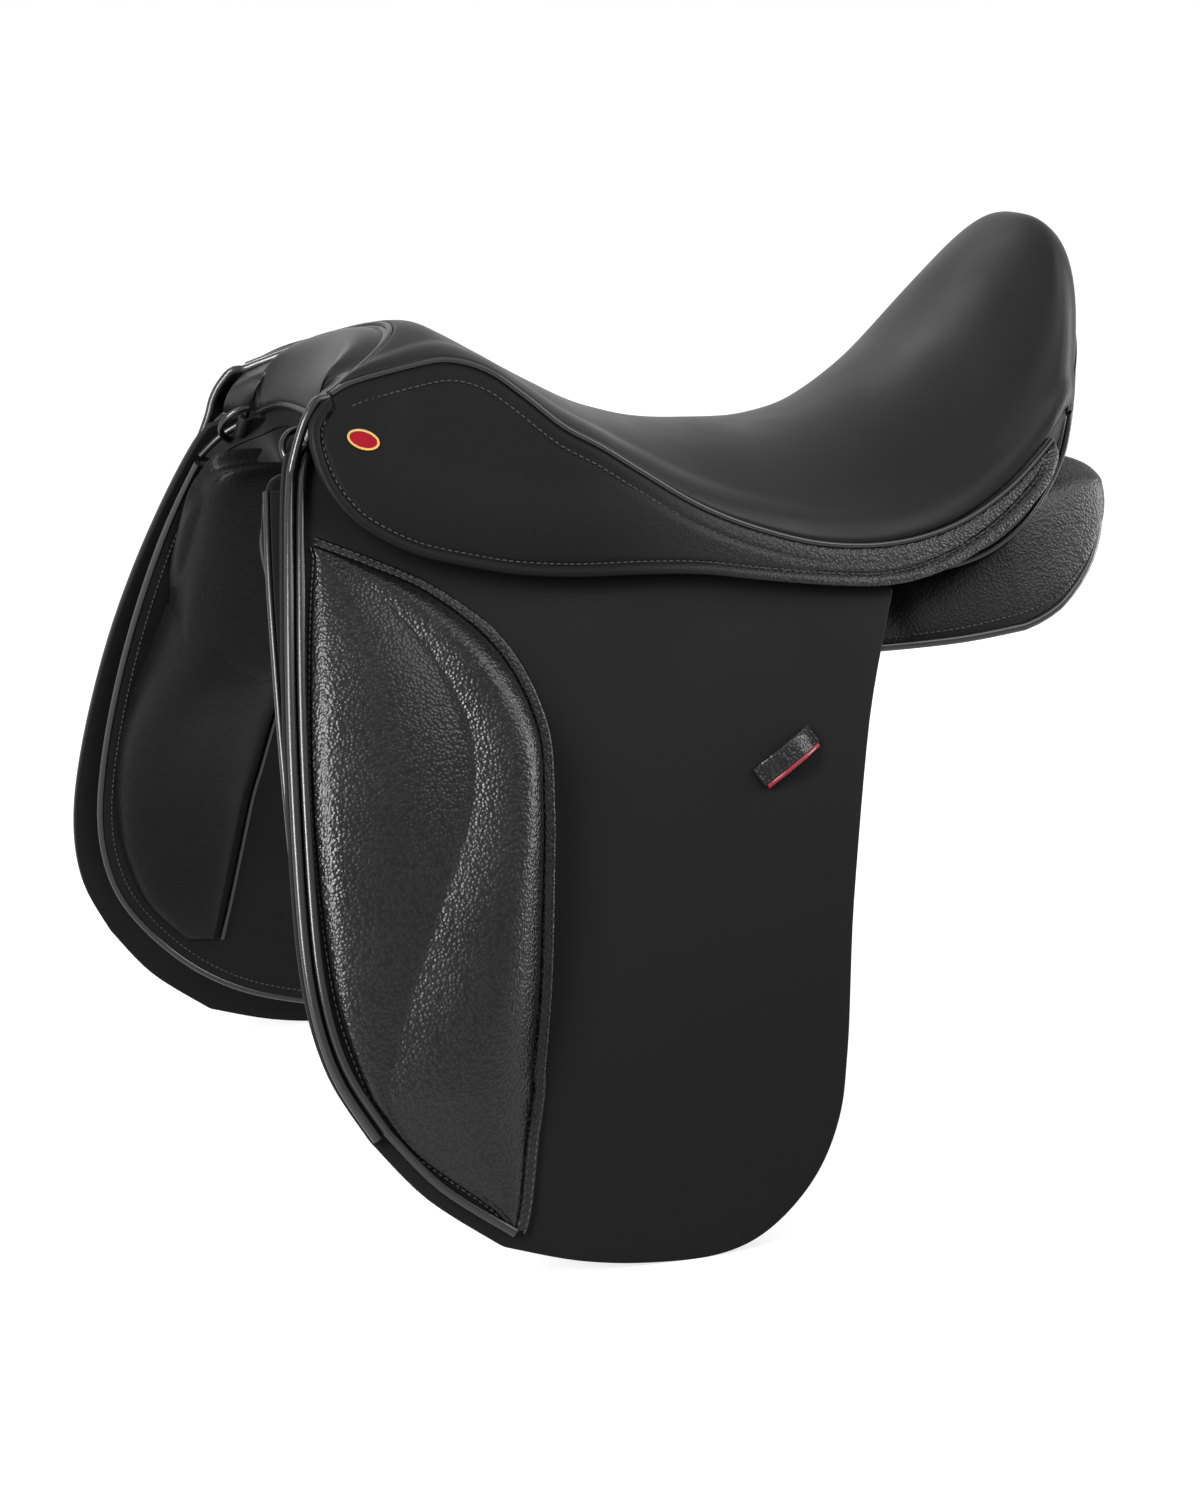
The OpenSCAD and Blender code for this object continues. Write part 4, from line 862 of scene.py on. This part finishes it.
# %% Thigh block rows
BLOCK = [  # front edge, middle line and rear seam in the side view, then front swell, middle height and ridge
    ((231, 12), (230.4, 12), (229.8, 12), 0.1, 0.1, 0.2),
    ((231, 6), (220, 4.5), (206, 2), 0.4, 2, 1.2),
    ((236, -10), (203, -12), (176, -13), 1.4, 6.5, 4.2),
    ((243, -38), (185, -38), (147, -40), 2.6, 11.5, 7),
    ((250, -73), (174, -74), (134, -75), 3.2, 13.5, 8),
    ((255, -110), (181, -110), (137, -111), 3.2, 13.5, 8.6),
    ((257, -150), (202, -150), (144, -152), 2.6, 11.5, 10.8),
    ((255, -195), (223, -193), (152, -198), 1.6, 7.5, 13),
    ((246, -230), (236, -229), (159, -232), 0.6, 3.6, 12.6),
    ((239, -245), (235, -245), (161, -246), 0.3, 2.2, 11.2),
    ((222, -268), (220, -268), (166, -266), 0.2, 1.1, 7),
    ((187, -297), (185, -297), (172, -297), 0.1, 0.5, 2.6),
    ((177, -309), (176.4, -309), (175.8, -309), 0.1, 0.1, 0.2),
]
HIDE_T = 1.4
table = smooth_line([(*a, *b, *c, *h) for a, b, c, *h in BLOCK], 10)
fore, crease, rear = table[:, 0:2], table[:, 2:4], table[:, 4:6]
swell, valley, ridge = table[:, 6:7], table[:, 7:8], table[:, 8:9]
v = np.linspace(0, 1, 30) ** 1.8
w = np.concatenate([np.linspace(0, 0.9, 26)[1:], [0.93, 0.955, 0.975, 0.99, 1.0]])
front_rise = HIDE_T + valley * (0.4 * (1 - np.exp(-v / 0.045)) + 0.6 * np.sin(math.pi / 2 * v))
front_rise += swell * np.sin(math.pi * v) ** 1.2
rear_rise = HIDE_T + (valley + ridge * np.sin(math.pi / 2 * np.clip(w / 0.65, 0, 1))) * (
    1 - np.clip((w - 0.45) / 0.55, 0, 1) ** 2.4) ** 0.75
rear_rise -= (rear_rise - 0.6) * np.clip((w - 0.97) / 0.03, 0, 1) ** 2
print("rows", len(table), "ridge mm", round(float(rear_rise.max()), 1))

# %% Thigh block pads
PAD_R = FLAP_R + 0.15
along = unit(np.gradient(rear, axis=0))
out = np.stack([along[:, 1], -along[:, 0]], -1)
out *= (np.sign((out * (rear - crease)).sum(1)) * np.interp(rear[:, 1], [-34, -8], [1, 0.7]))[:, None]
strip = np.array([0.5, 1.2, 2.4, 4.0, 5.6, 6.6, 7.0])
strip_rise = np.array([0.5, 1.3, 1.7, 1.75, 1.7, 1.5, 0.9])
pad_xz = np.concatenate([
    fore[:, None] + (crease - fore)[:, None] * v[:, None],
    crease[:, None] + (rear - crease)[:, None] * w[:, None],
    rear[:, None] + out[:, None] * strip[:, None]], 1)
pad_rise = np.concatenate([front_rise, rear_rise, np.broadcast_to(strip_rise, (len(rear), len(strip)))], 1)
pad_rise[0], pad_rise[-1] = np.minimum(pad_rise[0], 1.2), np.minimum(pad_rise[-1], 1.2)
sewn_rows = [(even(rear + out * 1.9, 1.5), 1.65), (even(rear + out * 5.6, 1.5), 1.75),
             (even(fore[2:-3] + (1.2, 0), 1.5), 1.0)]
for name, side in SIDES.items():
    block = slab("thigh_pad_" + name, bent(pad_xz, PAD_R + pad_rise, side), bent(pad_xz, PAD_R, side),
                 PEBBLED_HIDE)
    attach(block, "flap_" + name, "grained_leather", "thigh_block_" + name, fill=0.95)
    sewn = stitches("pad_stitches_" + name, [bent(p, PAD_R + h, side) for p, h in sewn_rows])
    attach(sewn, "flap_" + name, "grained_leather")
print("pad faces", len(block.data.polygons))

# %% [markdown]
# ## Keepers and badges
# A small leather loop on each flap holds the end of the stirrup leather. It is a strip that is sewn down
# at both ends and arches between them, with red piping along one edge. The strip is drawn flat, as a line
# with a width, and then set on the flap. The badge is a bare red enamel oval in a gilt rim: its solids
# have the right shape, so they only get their finishes.

# %% Keeper strip
keeper_line = smooth_line([(-20, 0.9), (-15.5, 1.1), (-11.5, 3.0), (-7, 5.0), (0, 5.3), (7, 5.0), (11.5, 3.0),
                           (15.5, 1.1), (20, 0.9)], 5)
side_at = np.array([-5.5, -5.2, -4.6, -3, 0, 3, 4.6, 5.2, 5.5])
edge_drop = np.array([0.9, 0.35, 0.08, 0, 0, 0, 0.08, 0.35, 0.9])
shape = (len(keeper_line), len(side_at))
x, z = np.broadcast_to(keeper_line[:, :1], shape), np.broadcast_to(side_at, shape)
top = np.stack([x, keeper_line[:, 1:] + 1.2 - edge_drop, z], -1)
low = np.stack([x, keeper_line[:, 1:] - 0.6 + 0.4 * edge_drop, z], -1)
print("keeper length mm", round(length(keeper_line), 1))

# %% Keepers
KEEPER_X, KEEPER_Z, KEEPER_TURN = 1.5, -101, math.radians(31)
KEEPER_LEAN = math.asin((KEEPER_Z - BEND_Z) / FLAP_R)


def at_keeper(points, side):
    p = np.asarray(points, float)
    c, s = math.cos(KEEPER_TURN), math.sin(KEEPER_TURN)
    x, z = p[..., 0] * c + p[..., 2] * s, -p[..., 0] * s + p[..., 2] * c
    c, s = math.cos(KEEPER_LEAN), math.sin(KEEPER_LEAN)
    y, z = p[..., 1] * c - z * s, p[..., 1] * s + z * c
    return placed(np.stack([x, y, z], -1) + layer(KEEPER_X, KEEPER_Z, FLAP_R), side)


red_line = [(x, y + 0.3, -6.3) for x, y in keeper_line if abs(x) < 19]
sewn_rows = [[(x, 2.35, -4), (x, 2.35, 4)] for x in (-17, 17)]
sewn_rows += [[(x, y + 1.25, z) for x, y in keeper_line if abs(x) < 17] for z in (-4.3, 4.3)]
for name, side in SIDES.items():
    loop = slab("keeper_loop_" + name, at_keeper(top, side), at_keeper(low, side), PEBBLED_HIDE)
    red = piping("keeper_red_piping_" + name, [at_keeper(red_line, side)], 1.25, RED_HIDE)
    sewn = stitches("keeper_stitches_" + name, [at_keeper(q, side) for q in sewn_rows], 2.6, 0.3, 0.9)
    attach(loop, "flap_" + name, "strap_leather", "keeper_" + name)
    attach(red, "flap_" + name, "red_leather", "keeper_piping_" + name)
    attach(sewn, "flap_" + name, "strap_leather")
print("keeper faces", len(loop.data.polygons))

# %% [markdown]
# ## The seat joins the saddle
# The seat, its piping and the facing ride on the saddle's own body. The seat stands for both the cover
# and the foam below it.

# %% Attach the seat pieces
attach(seat, "saddle", "smooth_leather", "seat_cover", "seat_foam", fill=0.9)
attach(seat_piping, "saddle", "smooth_leather", "seat_welts")
attach(pommel_facing, "saddle", "grained_leather", "pommel_facing", fill=0.8)
for obj in (pommel_welts, gusset, arch_strip, arch_skin, arch_cord, seam_cord):
    attach(obj, "saddle", "smooth_leather")
print("seat pieces ride on the saddle")

# %% [markdown]
# ## Sweat flaps and front pads
# The sweat flap is the thinner leaf between the flap and the horse. It is cut like the flap, with piping
# on its edge, and a pad on its inner face carries the front of the panel down in one line. The pad is a
# slab whose height is full in the middle and falls to its rim, as stuffed leather does.

# %% Sweat flap and front pad forms
SWEAT_IN = 761.0


def from_ends(count, reach):
    i = np.arange(count)
    return np.clip(np.minimum(i, i[::-1]) / reach, 0, 1)


SWEAT = smooth_line([
    (241, 34), (250, -10), (258, -75), (262, -140), (260, -188), (249, -225), (230, -253), (202, -280),
    (172, -299), (140, -311), (104, -319), (66, -320), (40, -312), (20, -292), (8, -266), (2, -240),
    (-10, -172), (-34, -90), (-60, -40)], 5)
sweat_top = beside(seam, -31)
x, z = sweat_top.T
sweat_top = sweat_top[(x > -62) & (x < 190) & (z < 47)][::-1]
sweat_loop = even(np.concatenate([SWEAT, sweat_top, SWEAT[:1]]), 3)[:-1]
PAD_ROWS = smooth_line([  # front and rear edge in the side view, then the fullness
    (242, -50, 172, -50, 2.3), (246, -74, 168, -74, 2.56), (251, -95, 167, -95, 2.62),
    (254, -112, 168, -113, 2.36), (256, -127, 170, -129, 2.0), (256.5, -142, 172, -145, 1.66),
    (256, -157, 174, -160, 1.38), (254, -175, 177, -178, 1.12), (247, -205, 180, -208, 0.86),
    (230, -240, 184, -242, 0.6), (204, -266, 188, -268, 0.2)], 8)
v = np.linspace(0, 1, 33)
fore, hind = PAD_ROWS[:, None, 0:2], PAD_ROWS[:, None, 2:4]
knee_xz = fore + (hind - fore) * v[:, None]
ends = from_ends(len(PAD_ROWS), 6)[:, None]
pad_h = 1.2 + 12 * PAD_ROWS[:, 4:] * np.sqrt(1 - (1 - ends) ** 2) * np.sqrt(1 - np.abs(2 * v - 1) ** 3)
print("points round the sweat flap", len(sweat_loop), "pad height mm", round(float(pad_h.max()), 1))

# %% Sweat flaps and front pads
SWEAT_MID = SWEAT_IN + 1.5
rim = even(beside(SWEAT, -1.2), 3)
row = even(beside(SWEAT, 5)[4:-4], 1.5)
hind_edge = even(PAD_ROWS[26:, 2:4] - (5.5, 0), 3)
for name, side in SIDES.items():
    sweat = bent_sheet("sweat_leaf_" + name, [sweat_loop], SWEAT_MID, 2.8, side, LINING_HIDE, 9, 0.8)
    attach(sweat, "saddle", "smooth_leather", "sweat_flap_" + name)
    cord = piping("sweat_piping_" + name, [bent(rim, SWEAT_MID, side)], 1.9)
    both_faces = [bent(row, r, side) for r in (SWEAT_IN - 0.05, SWEAT_IN + 3.05)]
    sewn = stitches("sweat_stitches_" + name, both_faces)
    edge_cord = piping("front_pad_piping_" + name, [bent(hind_edge, SWEAT_IN - 0.8, side)], 1.3)
    knee_top, knee_low = bent(knee_xz, SWEAT_IN - 0.4 - pad_h, side), bent(knee_xz, SWEAT_IN - 0.2, side)
    knee = slab("knee_pad_" + name, knee_top, knee_low, PANEL_HIDE)
    attach(knee, "saddle", "grained_leather", "front_pad_" + name, fill=0.9)
    for obj in (cord, sewn, edge_cord):
        attach(obj, "saddle", "smooth_leather")
print("sweat flap faces", len(sweat.data.polygons))

# %% [markdown]
# ## The panels
# The panels are long cushions of soft hide, packed with flock and sewn along their seams. Rows of four
# corners give the form: two on the wall against the sweat flap and two on the side of the horse. Each row
# becomes a ring with rounded sides.

# %% Panel rings
WALL_R = 759


def wall(a):
    return (BEND_Y + WALL_R * math.cos(math.radians(a)), BEND_Z + WALL_R * math.sin(math.radians(a)))


def smooth_ring(points, n):
    p = np.asarray(points, float)
    return smooth_line(np.concatenate([p[-1:], p, p[:2]]), n)[n:-n - 1]


PANEL = [
    (243, wall(37), wall(31), (78, -16), (56, 14)), (236, wall(38), wall(28), (104, -78), (42, 24)),
    (215, wall(38.2), wall(27.4), (104, -94), (37, 28)), (165, wall(37.8), wall(27.5), (100, -92), (37, 28)),
    (110, wall(36.6), wall(28), (82, -80), (38, 22)), (60, wall(35), wall(29), (60, -58), (37, 13)),
    (0, wall(33.5), wall(29.5), (46, -36), (37, 6)), (-60, wall(33.2), wall(29.3), (42, -30), (36, 8)),
    (-118, wall(33.4), (121, -58), (42, -33), (36, 14)), (-160, (88.5, 6), (119, -54.5), (42, -31), (36, 28)),
]
rings = []
for x, *corners in smooth_line([(x, *a, *b, *c, *d) for x, a, b, c, d in PANEL], 7):
    a, b, c, d = np.array(corners).reshape(4, 2)
    gap = a - b
    bulge = 5.0 if x < -90 else float(gap @ gap) / (8 * WALL_R)
    side_out = np.array([-gap[1], gap[0]]) / np.linalg.norm(gap)
    side_out *= 1 if side_out[0] > 0 else -1
    ring = smooth_ring([a, (a + b) / 2 + bulge * side_out, b, (b + c) / 2 - (0, 5), c, (c + d) / 2, d,
                        (d + a) / 2 + (0, 2)], 5)
    rings.append(np.column_stack([np.full(len(ring), x), ring]))
rings = np.array(rings)
print("rings", rings.shape[:2])

# %% [markdown]
# The rear ends in a rounded cap, and the front closes with a few smaller rings. A cap made of shrinking
# rings keeps the seam lines running to the end, which a separate half ball wouldn't.

# %% Panel ends
CAP_LENGTH, CAP_RISE, CAP_INWARD = 73, 26, 3


def softened(p, axis):
    return (np.roll(p, 1, axis) + 2 * p + np.roll(p, -1, axis)) / 4


middle = rings.mean(1, keepdims=True)
turns = np.radians(np.linspace(12, 88, 15))
start = math.sin(turns[0])
caps, soft = [], rings[-1] - middle[-1]
for i, t in enumerate(turns[1:]):
    for _ in range((i + 1) // 4):
        soft = softened(soft, 0)
    reach = (math.sin(t) - start) / (1 - start)
    shift = (-CAP_LENGTH * reach, -CAP_INWARD * reach ** 2, CAP_RISE * (math.sin(t) ** 2 - start ** 2))
    caps.append(soft * math.cos(t) / math.cos(turns[0]) + middle[-1] + shift)
lead = [(rings[0] - middle[0]) * s + middle[0] + (d, 0, 0)
        for s, d in ((0.15, 5.2), (0.42, 4.8), (0.66, 3.8), (0.84, 2.3), (0.95, 0.9))]
rings = np.concatenate([np.array(lead), rings, np.array(caps)])
print("rings with both ends", len(rings))

# %% [markdown]
# This is the padding that a simulation suits best. The full form could be drawn at once, but pressure rounds
# leather between its seams just as packed flock does. The skin starts a little slack, the seams are pinned,
# and air pressure swells it.

# %% Slack skin
SLACK_MM = 3.4
LOW_SEAM, TOP_SEAM = 10, 30  # places of the lower and the inner top seam in a ring
n_ring, n_side = rings.shape[:2]
place = np.arange(n_side)
seg = np.where(place < TOP_SEAM, (place - LOW_SEAM) / (TOP_SEAM - LOW_SEAM),
               (place - TOP_SEAM) / (n_side - TOP_SEAM))
seg = np.where(place < LOW_SEAM, place / LOW_SEAM, seg)
loose = np.sin(math.pi * seg) ** 0.7
loose = np.where(place > TOP_SEAM, loose * 0.25, loose)[None] * from_ends(n_ring, 7)[:, None]
skin_out = unit(np.cross(np.gradient(rings, axis=0), np.roll(rings, -1, 1) - np.roll(rings, 1, 1)))
skin_out *= np.sign((skin_out * (rings - rings.mean(1, keepdims=True))).sum(-1).mean())
slack = rings - skin_out * (SLACK_MM * loose)[..., None]
print("panel rings", n_ring, "sides", n_side)

# %% Panel stuffing by cloth simulation
MOST_MM, FRAMES = 5.0, 20


def loft(name, rings, finish):
    n, m = rings.shape[:2]
    faces = [(i * m + k, (i + 1) * m + k, (i + 1) * m + (k + 1) % m, i * m + (k + 1) % m)
             for i in range(n - 1) for k in range(m)]
    faces += [tuple(range(m)), tuple(range((n - 1) * m, n * m))]
    return piece(name, rings.reshape(-1, 3), faces, finish, sharp=60)


def stuffed(points, hold):
    skin = loft("panel_skin", points / 1000, PEBBLED_HIDE)
    start = np.empty(len(skin.data.vertices) * 3)
    skin.data.vertices.foreach_get("co", start)
    pins = skin.vertex_groups.new(name="seams")
    for i, h in enumerate(hold.ravel()):
        pins.add([i], float(h), "REPLACE")
    cloth = skin.modifiers.new("stuffing", "CLOTH")
    cloth.settings.vertex_group_mass = "seams"
    cloth.settings.use_pressure, cloth.settings.uniform_pressure_force = True, 4.0
    cloth.settings.tension_stiffness, cloth.settings.bending_stiffness = 12, 0.6
    cloth.settings.effector_weights.gravity = 0
    cloth.collision_settings.use_collision = False
    for f in range(1, FRAMES + 1):
        bpy.context.scene.frame_set(f)
    mesh = bpy.data.meshes.new_from_object(skin.evaluated_get(bpy.context.evaluated_depsgraph_get()))
    end = np.empty(len(mesh.vertices) * 3)
    mesh.vertices.foreach_get("co", end)
    moved = (end - start).reshape(-1, 3) * 1000
    moved *= np.minimum(1, MOST_MM / np.maximum(np.linalg.norm(moved, axis=1, keepdims=True), 1e-6))
    bpy.data.objects.remove(skin)
    bpy.data.meshes.remove(mesh)
    bpy.context.scene.frame_set(1)
    return points + moved.reshape(points.shape)


swelling = stuffed(slack, np.clip(1 - loose * 1.6, 0, 1)) - rings
print("largest difference from the rings, mm", round(float(np.linalg.norm(swelling, axis=-1).max()), 1))

# %% [markdown]
# What the stuffing adds to the drawn rings is smoothed, and it counts fully only at the rear, because the
# sweat flap and its pad hold the leather further forward. There the skin is also kept off the sweat flap.

# %% Panel form
WALL_LIMIT = 760.4


def relaxed(path, times):
    path = np.array(path, float)
    for _ in range(times):
        path[1:-1] = (path[:-2] + 2 * path[1:-1] + path[2:]) / 4
    return path


drift = swelling * np.clip((40 - rings[..., :1]) / 80, 0.15, 1)
for _ in range(2):
    drift = softened(relaxed(drift, 1), 1)
panel_form = rings + drift
radius = np.hypot(panel_form[..., 1] - BEND_Y, panel_form[..., 2] - BEND_Z)
shrink = np.where((panel_form[..., 0] > -72) & (radius > WALL_LIMIT), WALL_LIMIT / radius, 1.0)
panel_form[..., 1] = BEND_Y + (panel_form[..., 1] - BEND_Y) * shrink
panel_form[..., 2] = BEND_Z + (panel_form[..., 2] - BEND_Z) * shrink
stands_off = np.linalg.norm(panel_form - rings, axis=-1)
print("most that a point stands from the drawn form, mm", round(float(stands_off.max()), 1))

# %% [markdown]
# The left skin is mirrored for the right side. Piping closes the lower seam and a row of stitches runs
# above it.

# %% Panels, their piping and stitches
lower_seam = panel_form[6:-2, LOW_SEAM]
tuck = 1 - from_ends(len(lower_seam), 8)[:, None]
lower_seam = even(lower_seam - skin_out[6:-2, LOW_SEAM] * 4.5 * tuck ** 2, 3)
above, next_row = panel_form[7:-8, LOW_SEAM - 2], panel_form[7:-8, LOW_SEAM - 1]
above = above + (next_row - above) * 0.35
for name, side in SIDES.items():
    cushion = loft("panel_cushion_" + name, placed(panel_form, side), PANEL_HIDE)
    fine = cushion.modifiers.new("smooth", "SUBSURF")
    fine.levels = fine.render_levels = 1
    smooth(baked(cushion).data)
    attach(cushion, "saddle", "grained_leather", "panel_" + name, fill=0.8)
    cord = piping("panel_piping_" + name, [placed(lower_seam, side)], 2.2)
    sewn = stitches("panel_stitches_" + name, [placed(even(above + (0, 0.3, 0), 1.5), side)])
    for obj in (cord, sewn):
        attach(obj, "saddle", "grained_leather")
print("panel faces", len(cushion.data.polygons))

# %% [markdown]
# ## Lining and cantle
# A soft lining spans the channel between the panels. It arches up between two lines along them. Cloth
# could be hung there, but nobody sees its folds, so a slab with a flat arch for its section is enough.

# %% Gullet lining
LINING_N = 33
LINING = smooth_line([  # x, half width, height at the panels and in the middle
    (206, 36.4, 26, 54), (165, 36.4, 26, 57), (118, 37.2, 21, 56), (90, 37, 17, 48), (60, 36.4, 11, 35),
    (30, 36.4, 7, 23), (0, 36.4, 4, 16), (-30, 35.9, 4.5, 12), (-60, 35.4, 6, 11), (-90, 35.4, 8, 13),
    (-118, 35.4, 12, 20), (-165, 35.4, 26, 36), (-204, 35.4, 30, 44)], 5)
corner = placed(np.column_stack([LINING[:, 0], LINING[:, 1] - 0.4, LINING[:, 2]])) * 1000
t = np.linspace(-1, 1, LINING_N)
lining_grid = np.stack([np.broadcast_to(corner[:, :1], (len(LINING), LINING_N)), corner[:, 1:2] * t,
                        LINING[:, 2:3] + (LINING[:, 3:] - LINING[:, 2:3]) * (1 - np.abs(t) ** 3)], -1)
lining = slab_mm("channel_lining", lining_grid, lining_grid - 1.5 * normals(lining_grid), LINING_HIDE)
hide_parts("gullet_lining")
print("lining faces", len(lining.data.polygons))

# %% [markdown]
# A strap of the same calf as the seat closes the rear of the cantle. It could be shrink-wrapped to the
# seat, but it is taken from the seat's own grid, so it follows the seat's form.

# %% Cantle strap
BAND_N = 19


def between(grid, at, columns):
    low = np.floor(at).astype(int).clip(0, len(grid) - 2)
    return grid[low, columns] + (grid[low + 1, columns] - grid[low, columns]) * (at - low)[:, None]


f = np.linspace(0, 1, BAND_N)
reach = 2 - 0.42 * across ** 2
band = np.array([between(seat_grid, (BAND_FROM + q * reach) * FINE, np.arange(COLUMNS)) for q in f])
band_out = normals(band)
thick = np.interp(f, [0, 0.35, 0.9, 1], [0.9, 3.2, 3.2, 1.8])[:, None, None]
cantle = slab_mm("cantle_band", band + band_out * thick, band + band_out * 0.4, SEAT_CALF)
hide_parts("cantle_strap")
print("cantle faces", len(cantle.data.polygons))

# %% [markdown]
# Two cords run side by side round the rear: they come out from under each skirt, follow the panel, turn
# up at the corner and cross the cantle band. A facing closes the space between them, the skirt and the
# edge of the seat. Both are drawn from the same points, so the facing ends at the cord.

# %% Double cord
CORD = np.array([(-75, 107, -22), (-110, 108.6, -22.5), (-141, 108.2, -16), (-166, 104.4, -2),
                 (-180, 98.6, 9.5), (-190, 94, 20.5), (-197, 92, 33)])
pick = np.arange(61, 2, -3)
over = between(band + band_out * 2.8, (BAND_N - 1) * (0.5 + 0.25 * (1 - across[pick] ** 2)), pick)
cord = relaxed(even(smooth_line(np.concatenate([CORD, over, (CORD * (1, -1, 1))[::-1]]), 6), 3), 12)
rearward = np.clip((90 - np.abs(cord[:, 1:2])) / 20, 0, 1)
facing_to = np.array([0, 0, 0.4]) + np.sign(cord[:, 1:2]) * np.array([0, 1, 0])
facing_to = facing_to * (1 - rearward) + np.array([-1, 0, 0.1]) * rearward
aside = unit(np.cross(np.gradient(cord, axis=0), facing_to))
aside *= np.sign(aside[:, 2:])
double_cord = piping("cantle_double_cord", [cord / 1000, (cord + aside * 3.5) / 1000], 1.8)
print("double cord faces", len(double_cord.data.polygons))

# %% Rear facings
rim = seat_rim[:BAND_FROM * FINE + 1]
rim = rim[rim[:, 0] < -85]
high = spread(bent(rim + (0, 0.6), FLAP_R - 0.8, lay=skirt_layer) * 1000, 40)
low = spread(np.concatenate([CORD - (0, 2.2, 0), [(-200.5, 88, 46)]]), 40)
facings = []
for name, side in SIDES.items():
    face = (high + (low - high) * np.linspace(0, 1, 9)[:, None, None]) * (1, side, 1)
    facings.append(slab_mm("rear_facing_" + name, face, face - np.array([0, 1.8 * side, 0]), SEAT_CALF))
for obj in (lining, cantle, double_cord, *facings):
    attach(obj, "saddle", "smooth_leather")
print("rear facing faces", [len(obj.data.polygons) for obj in facings])

# %% [markdown]
# ## Finishes for the solids that stay
# Metal, wood and webbing already have the right shape, so they keep it and get their finishes. The
# longest matching beginning of a node's name decides.

# %% Finishes on the frame's own nodes
KEPT = {"tree": BIRCH, "head_": FORGED_STEEL, "bar_": FORGED_STEEL, "stirrup_bar": FORGED_STEEL,
        "dee_": NICKEL, "dee_chape": BRIDLE_HIDE, "girth_strap": BRIDLE_HIDE, "girth_webs": WEBBING,
        "seat_webbing": WEBBING, "badge_rim": GILT, "badge_face": ENAMEL}
dressed = 0
for name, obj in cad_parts.items():
    match = max((key for key in KEPT if name.startswith(key)), key=len, default=None)
    if match:
        if not obj.material_slots:
            obj.data.materials.append(KEPT[match])
        for held in obj.material_slots:
            held.material = KEPT[match]
        dressed += 1
print("solids with a finish", dressed)

# %% [markdown]
# ## Floor, light and camera
# A pale floor runs out of sight and the world behind it is white to the eye, so that the black leather
# stands alone. Both are bright to the eye and in reflections, and dimmer as sources of light, because
# black leather turns grey under a bright sky.

# %% Floor
FLOOR_Z = -0.3375


def seen(tree):
    ray = node(tree, "ShaderNodeLightPath").outputs
    first = combine(tree, "MAXIMUM", ray["Is Camera Ray"], ray["Is Glossy Ray"])
    return combine(tree, "MAXIMUM", first, ray["Is Transmission Ray"])


bpy.ops.mesh.primitive_plane_add(size=30, location=(0, 0, FLOOR_Z))
floor = bpy.context.object
floor.name = "studio_floor"
PAPER = bpy.data.materials.new("white_paper")
PAPER.use_nodes = True
tree = PAPER.node_tree
tree.nodes.remove(tree.nodes["Principled BSDF"])
where = node(tree, "ShaderNodeTexCoord").outputs["Object"]
spot = node(tree, "ShaderNodeVectorMath", {0: where}, operation="LENGTH")
fall = ranged(tree, spot.outputs["Value"], 0.74, 1.0, 0.35, 1.1)
glow = node(tree, "ShaderNodeEmission", {"Strength": combine(tree, "MULTIPLY", seen(tree), fall)})
matt = node(tree, "ShaderNodeBsdfDiffuse", {"Color": (0.42, 0.42, 0.42, 1)})
both = node(tree, "ShaderNodeAddShader", {0: glow.outputs[0], 1: matt.outputs[0]})
wire(tree.nodes["Material Output"], Surface=both.outputs[0])
floor.data.materials.append(PAPER)
print("floor at", FLOOR_Z)

# %% World
world = bpy.data.worlds.new("studio")
bpy.context.scene.world = world
world.use_nodes = True
tree = world.node_tree
backdrop = tree.nodes["Background"]
backdrop.inputs["Color"].default_value = (1, 1, 1, 1)
wire(backdrop, Strength=ranged(tree, seen(tree), 0.25, 1.0))
print("world", world.name)

# %% [markdown]
# Softboxes draw highlights along the edges: a long one at the front, another at the rear, one overhead
# and one behind. A picture of a studio could light the scene too, but with lamps each highlight can be
# put where it belongs. The camera stands at the left front with a long lens, which keeps the form from
# looking stretched.

# %% Lamps
def softbox(name, place, aim, width, height, watts):
    lamp = bpy.data.lights.new(name, "AREA")
    lamp.shape, lamp.size, lamp.size_y, lamp.energy = "RECTANGLE", width, height, watts
    obj = bpy.data.objects.new(name, lamp)
    obj.location = place
    obj.rotation_euler = (Vector(aim) - Vector(place)).to_track_quat("-Z", "Y").to_euler()
    bpy.context.scene.collection.objects.link(obj)


softbox("front_softbox", (1.55, 0.7, 0.7), (0.2, 0.1, -0.1), 0.4, 1.4, 76)
softbox("rear_softbox", (-1.5, 0.25, 0.3), (-0.15, 0.05, 0), 0.4, 1.0, 16)
softbox("top_softbox", (-1.0, 0.7, 1.35), (-0.05, 0.1, 0), 1.2, 0.7, 15)
softbox("back_softbox", (0.55, -1.3, 1.35), (0.15, 0, 0.08), 1.2, 0.5, 7)
print("lamps", len(bpy.data.lights))

# %% Camera
LENS_MM, SENSOR_MM = 92.4, 36
EYE, TURN, RISE = (0.8844, 1.8619, 0.3430), math.radians(24.5), math.radians(13)
camera = bpy.data.cameras.new("photo_camera")
camera.lens, camera.sensor_width, camera.sensor_fit = LENS_MM, SENSOR_MM, "AUTO"
camera.clip_end = 100
eye = bpy.data.objects.new("photo_camera", camera)
eye.location = EYE
toward = Vector((-math.sin(TURN) * math.cos(RISE), -math.cos(TURN) * math.cos(RISE), -math.sin(RISE)))
eye.rotation_euler = toward.to_track_quat("-Z", "Y").to_euler()
bpy.context.scene.collection.objects.link(eye)
bpy.context.scene.camera = eye
bpy.context.scene.view_settings.view_transform = "Standard"
print("camera", tuple(round(v, 3) for v in eye.location))
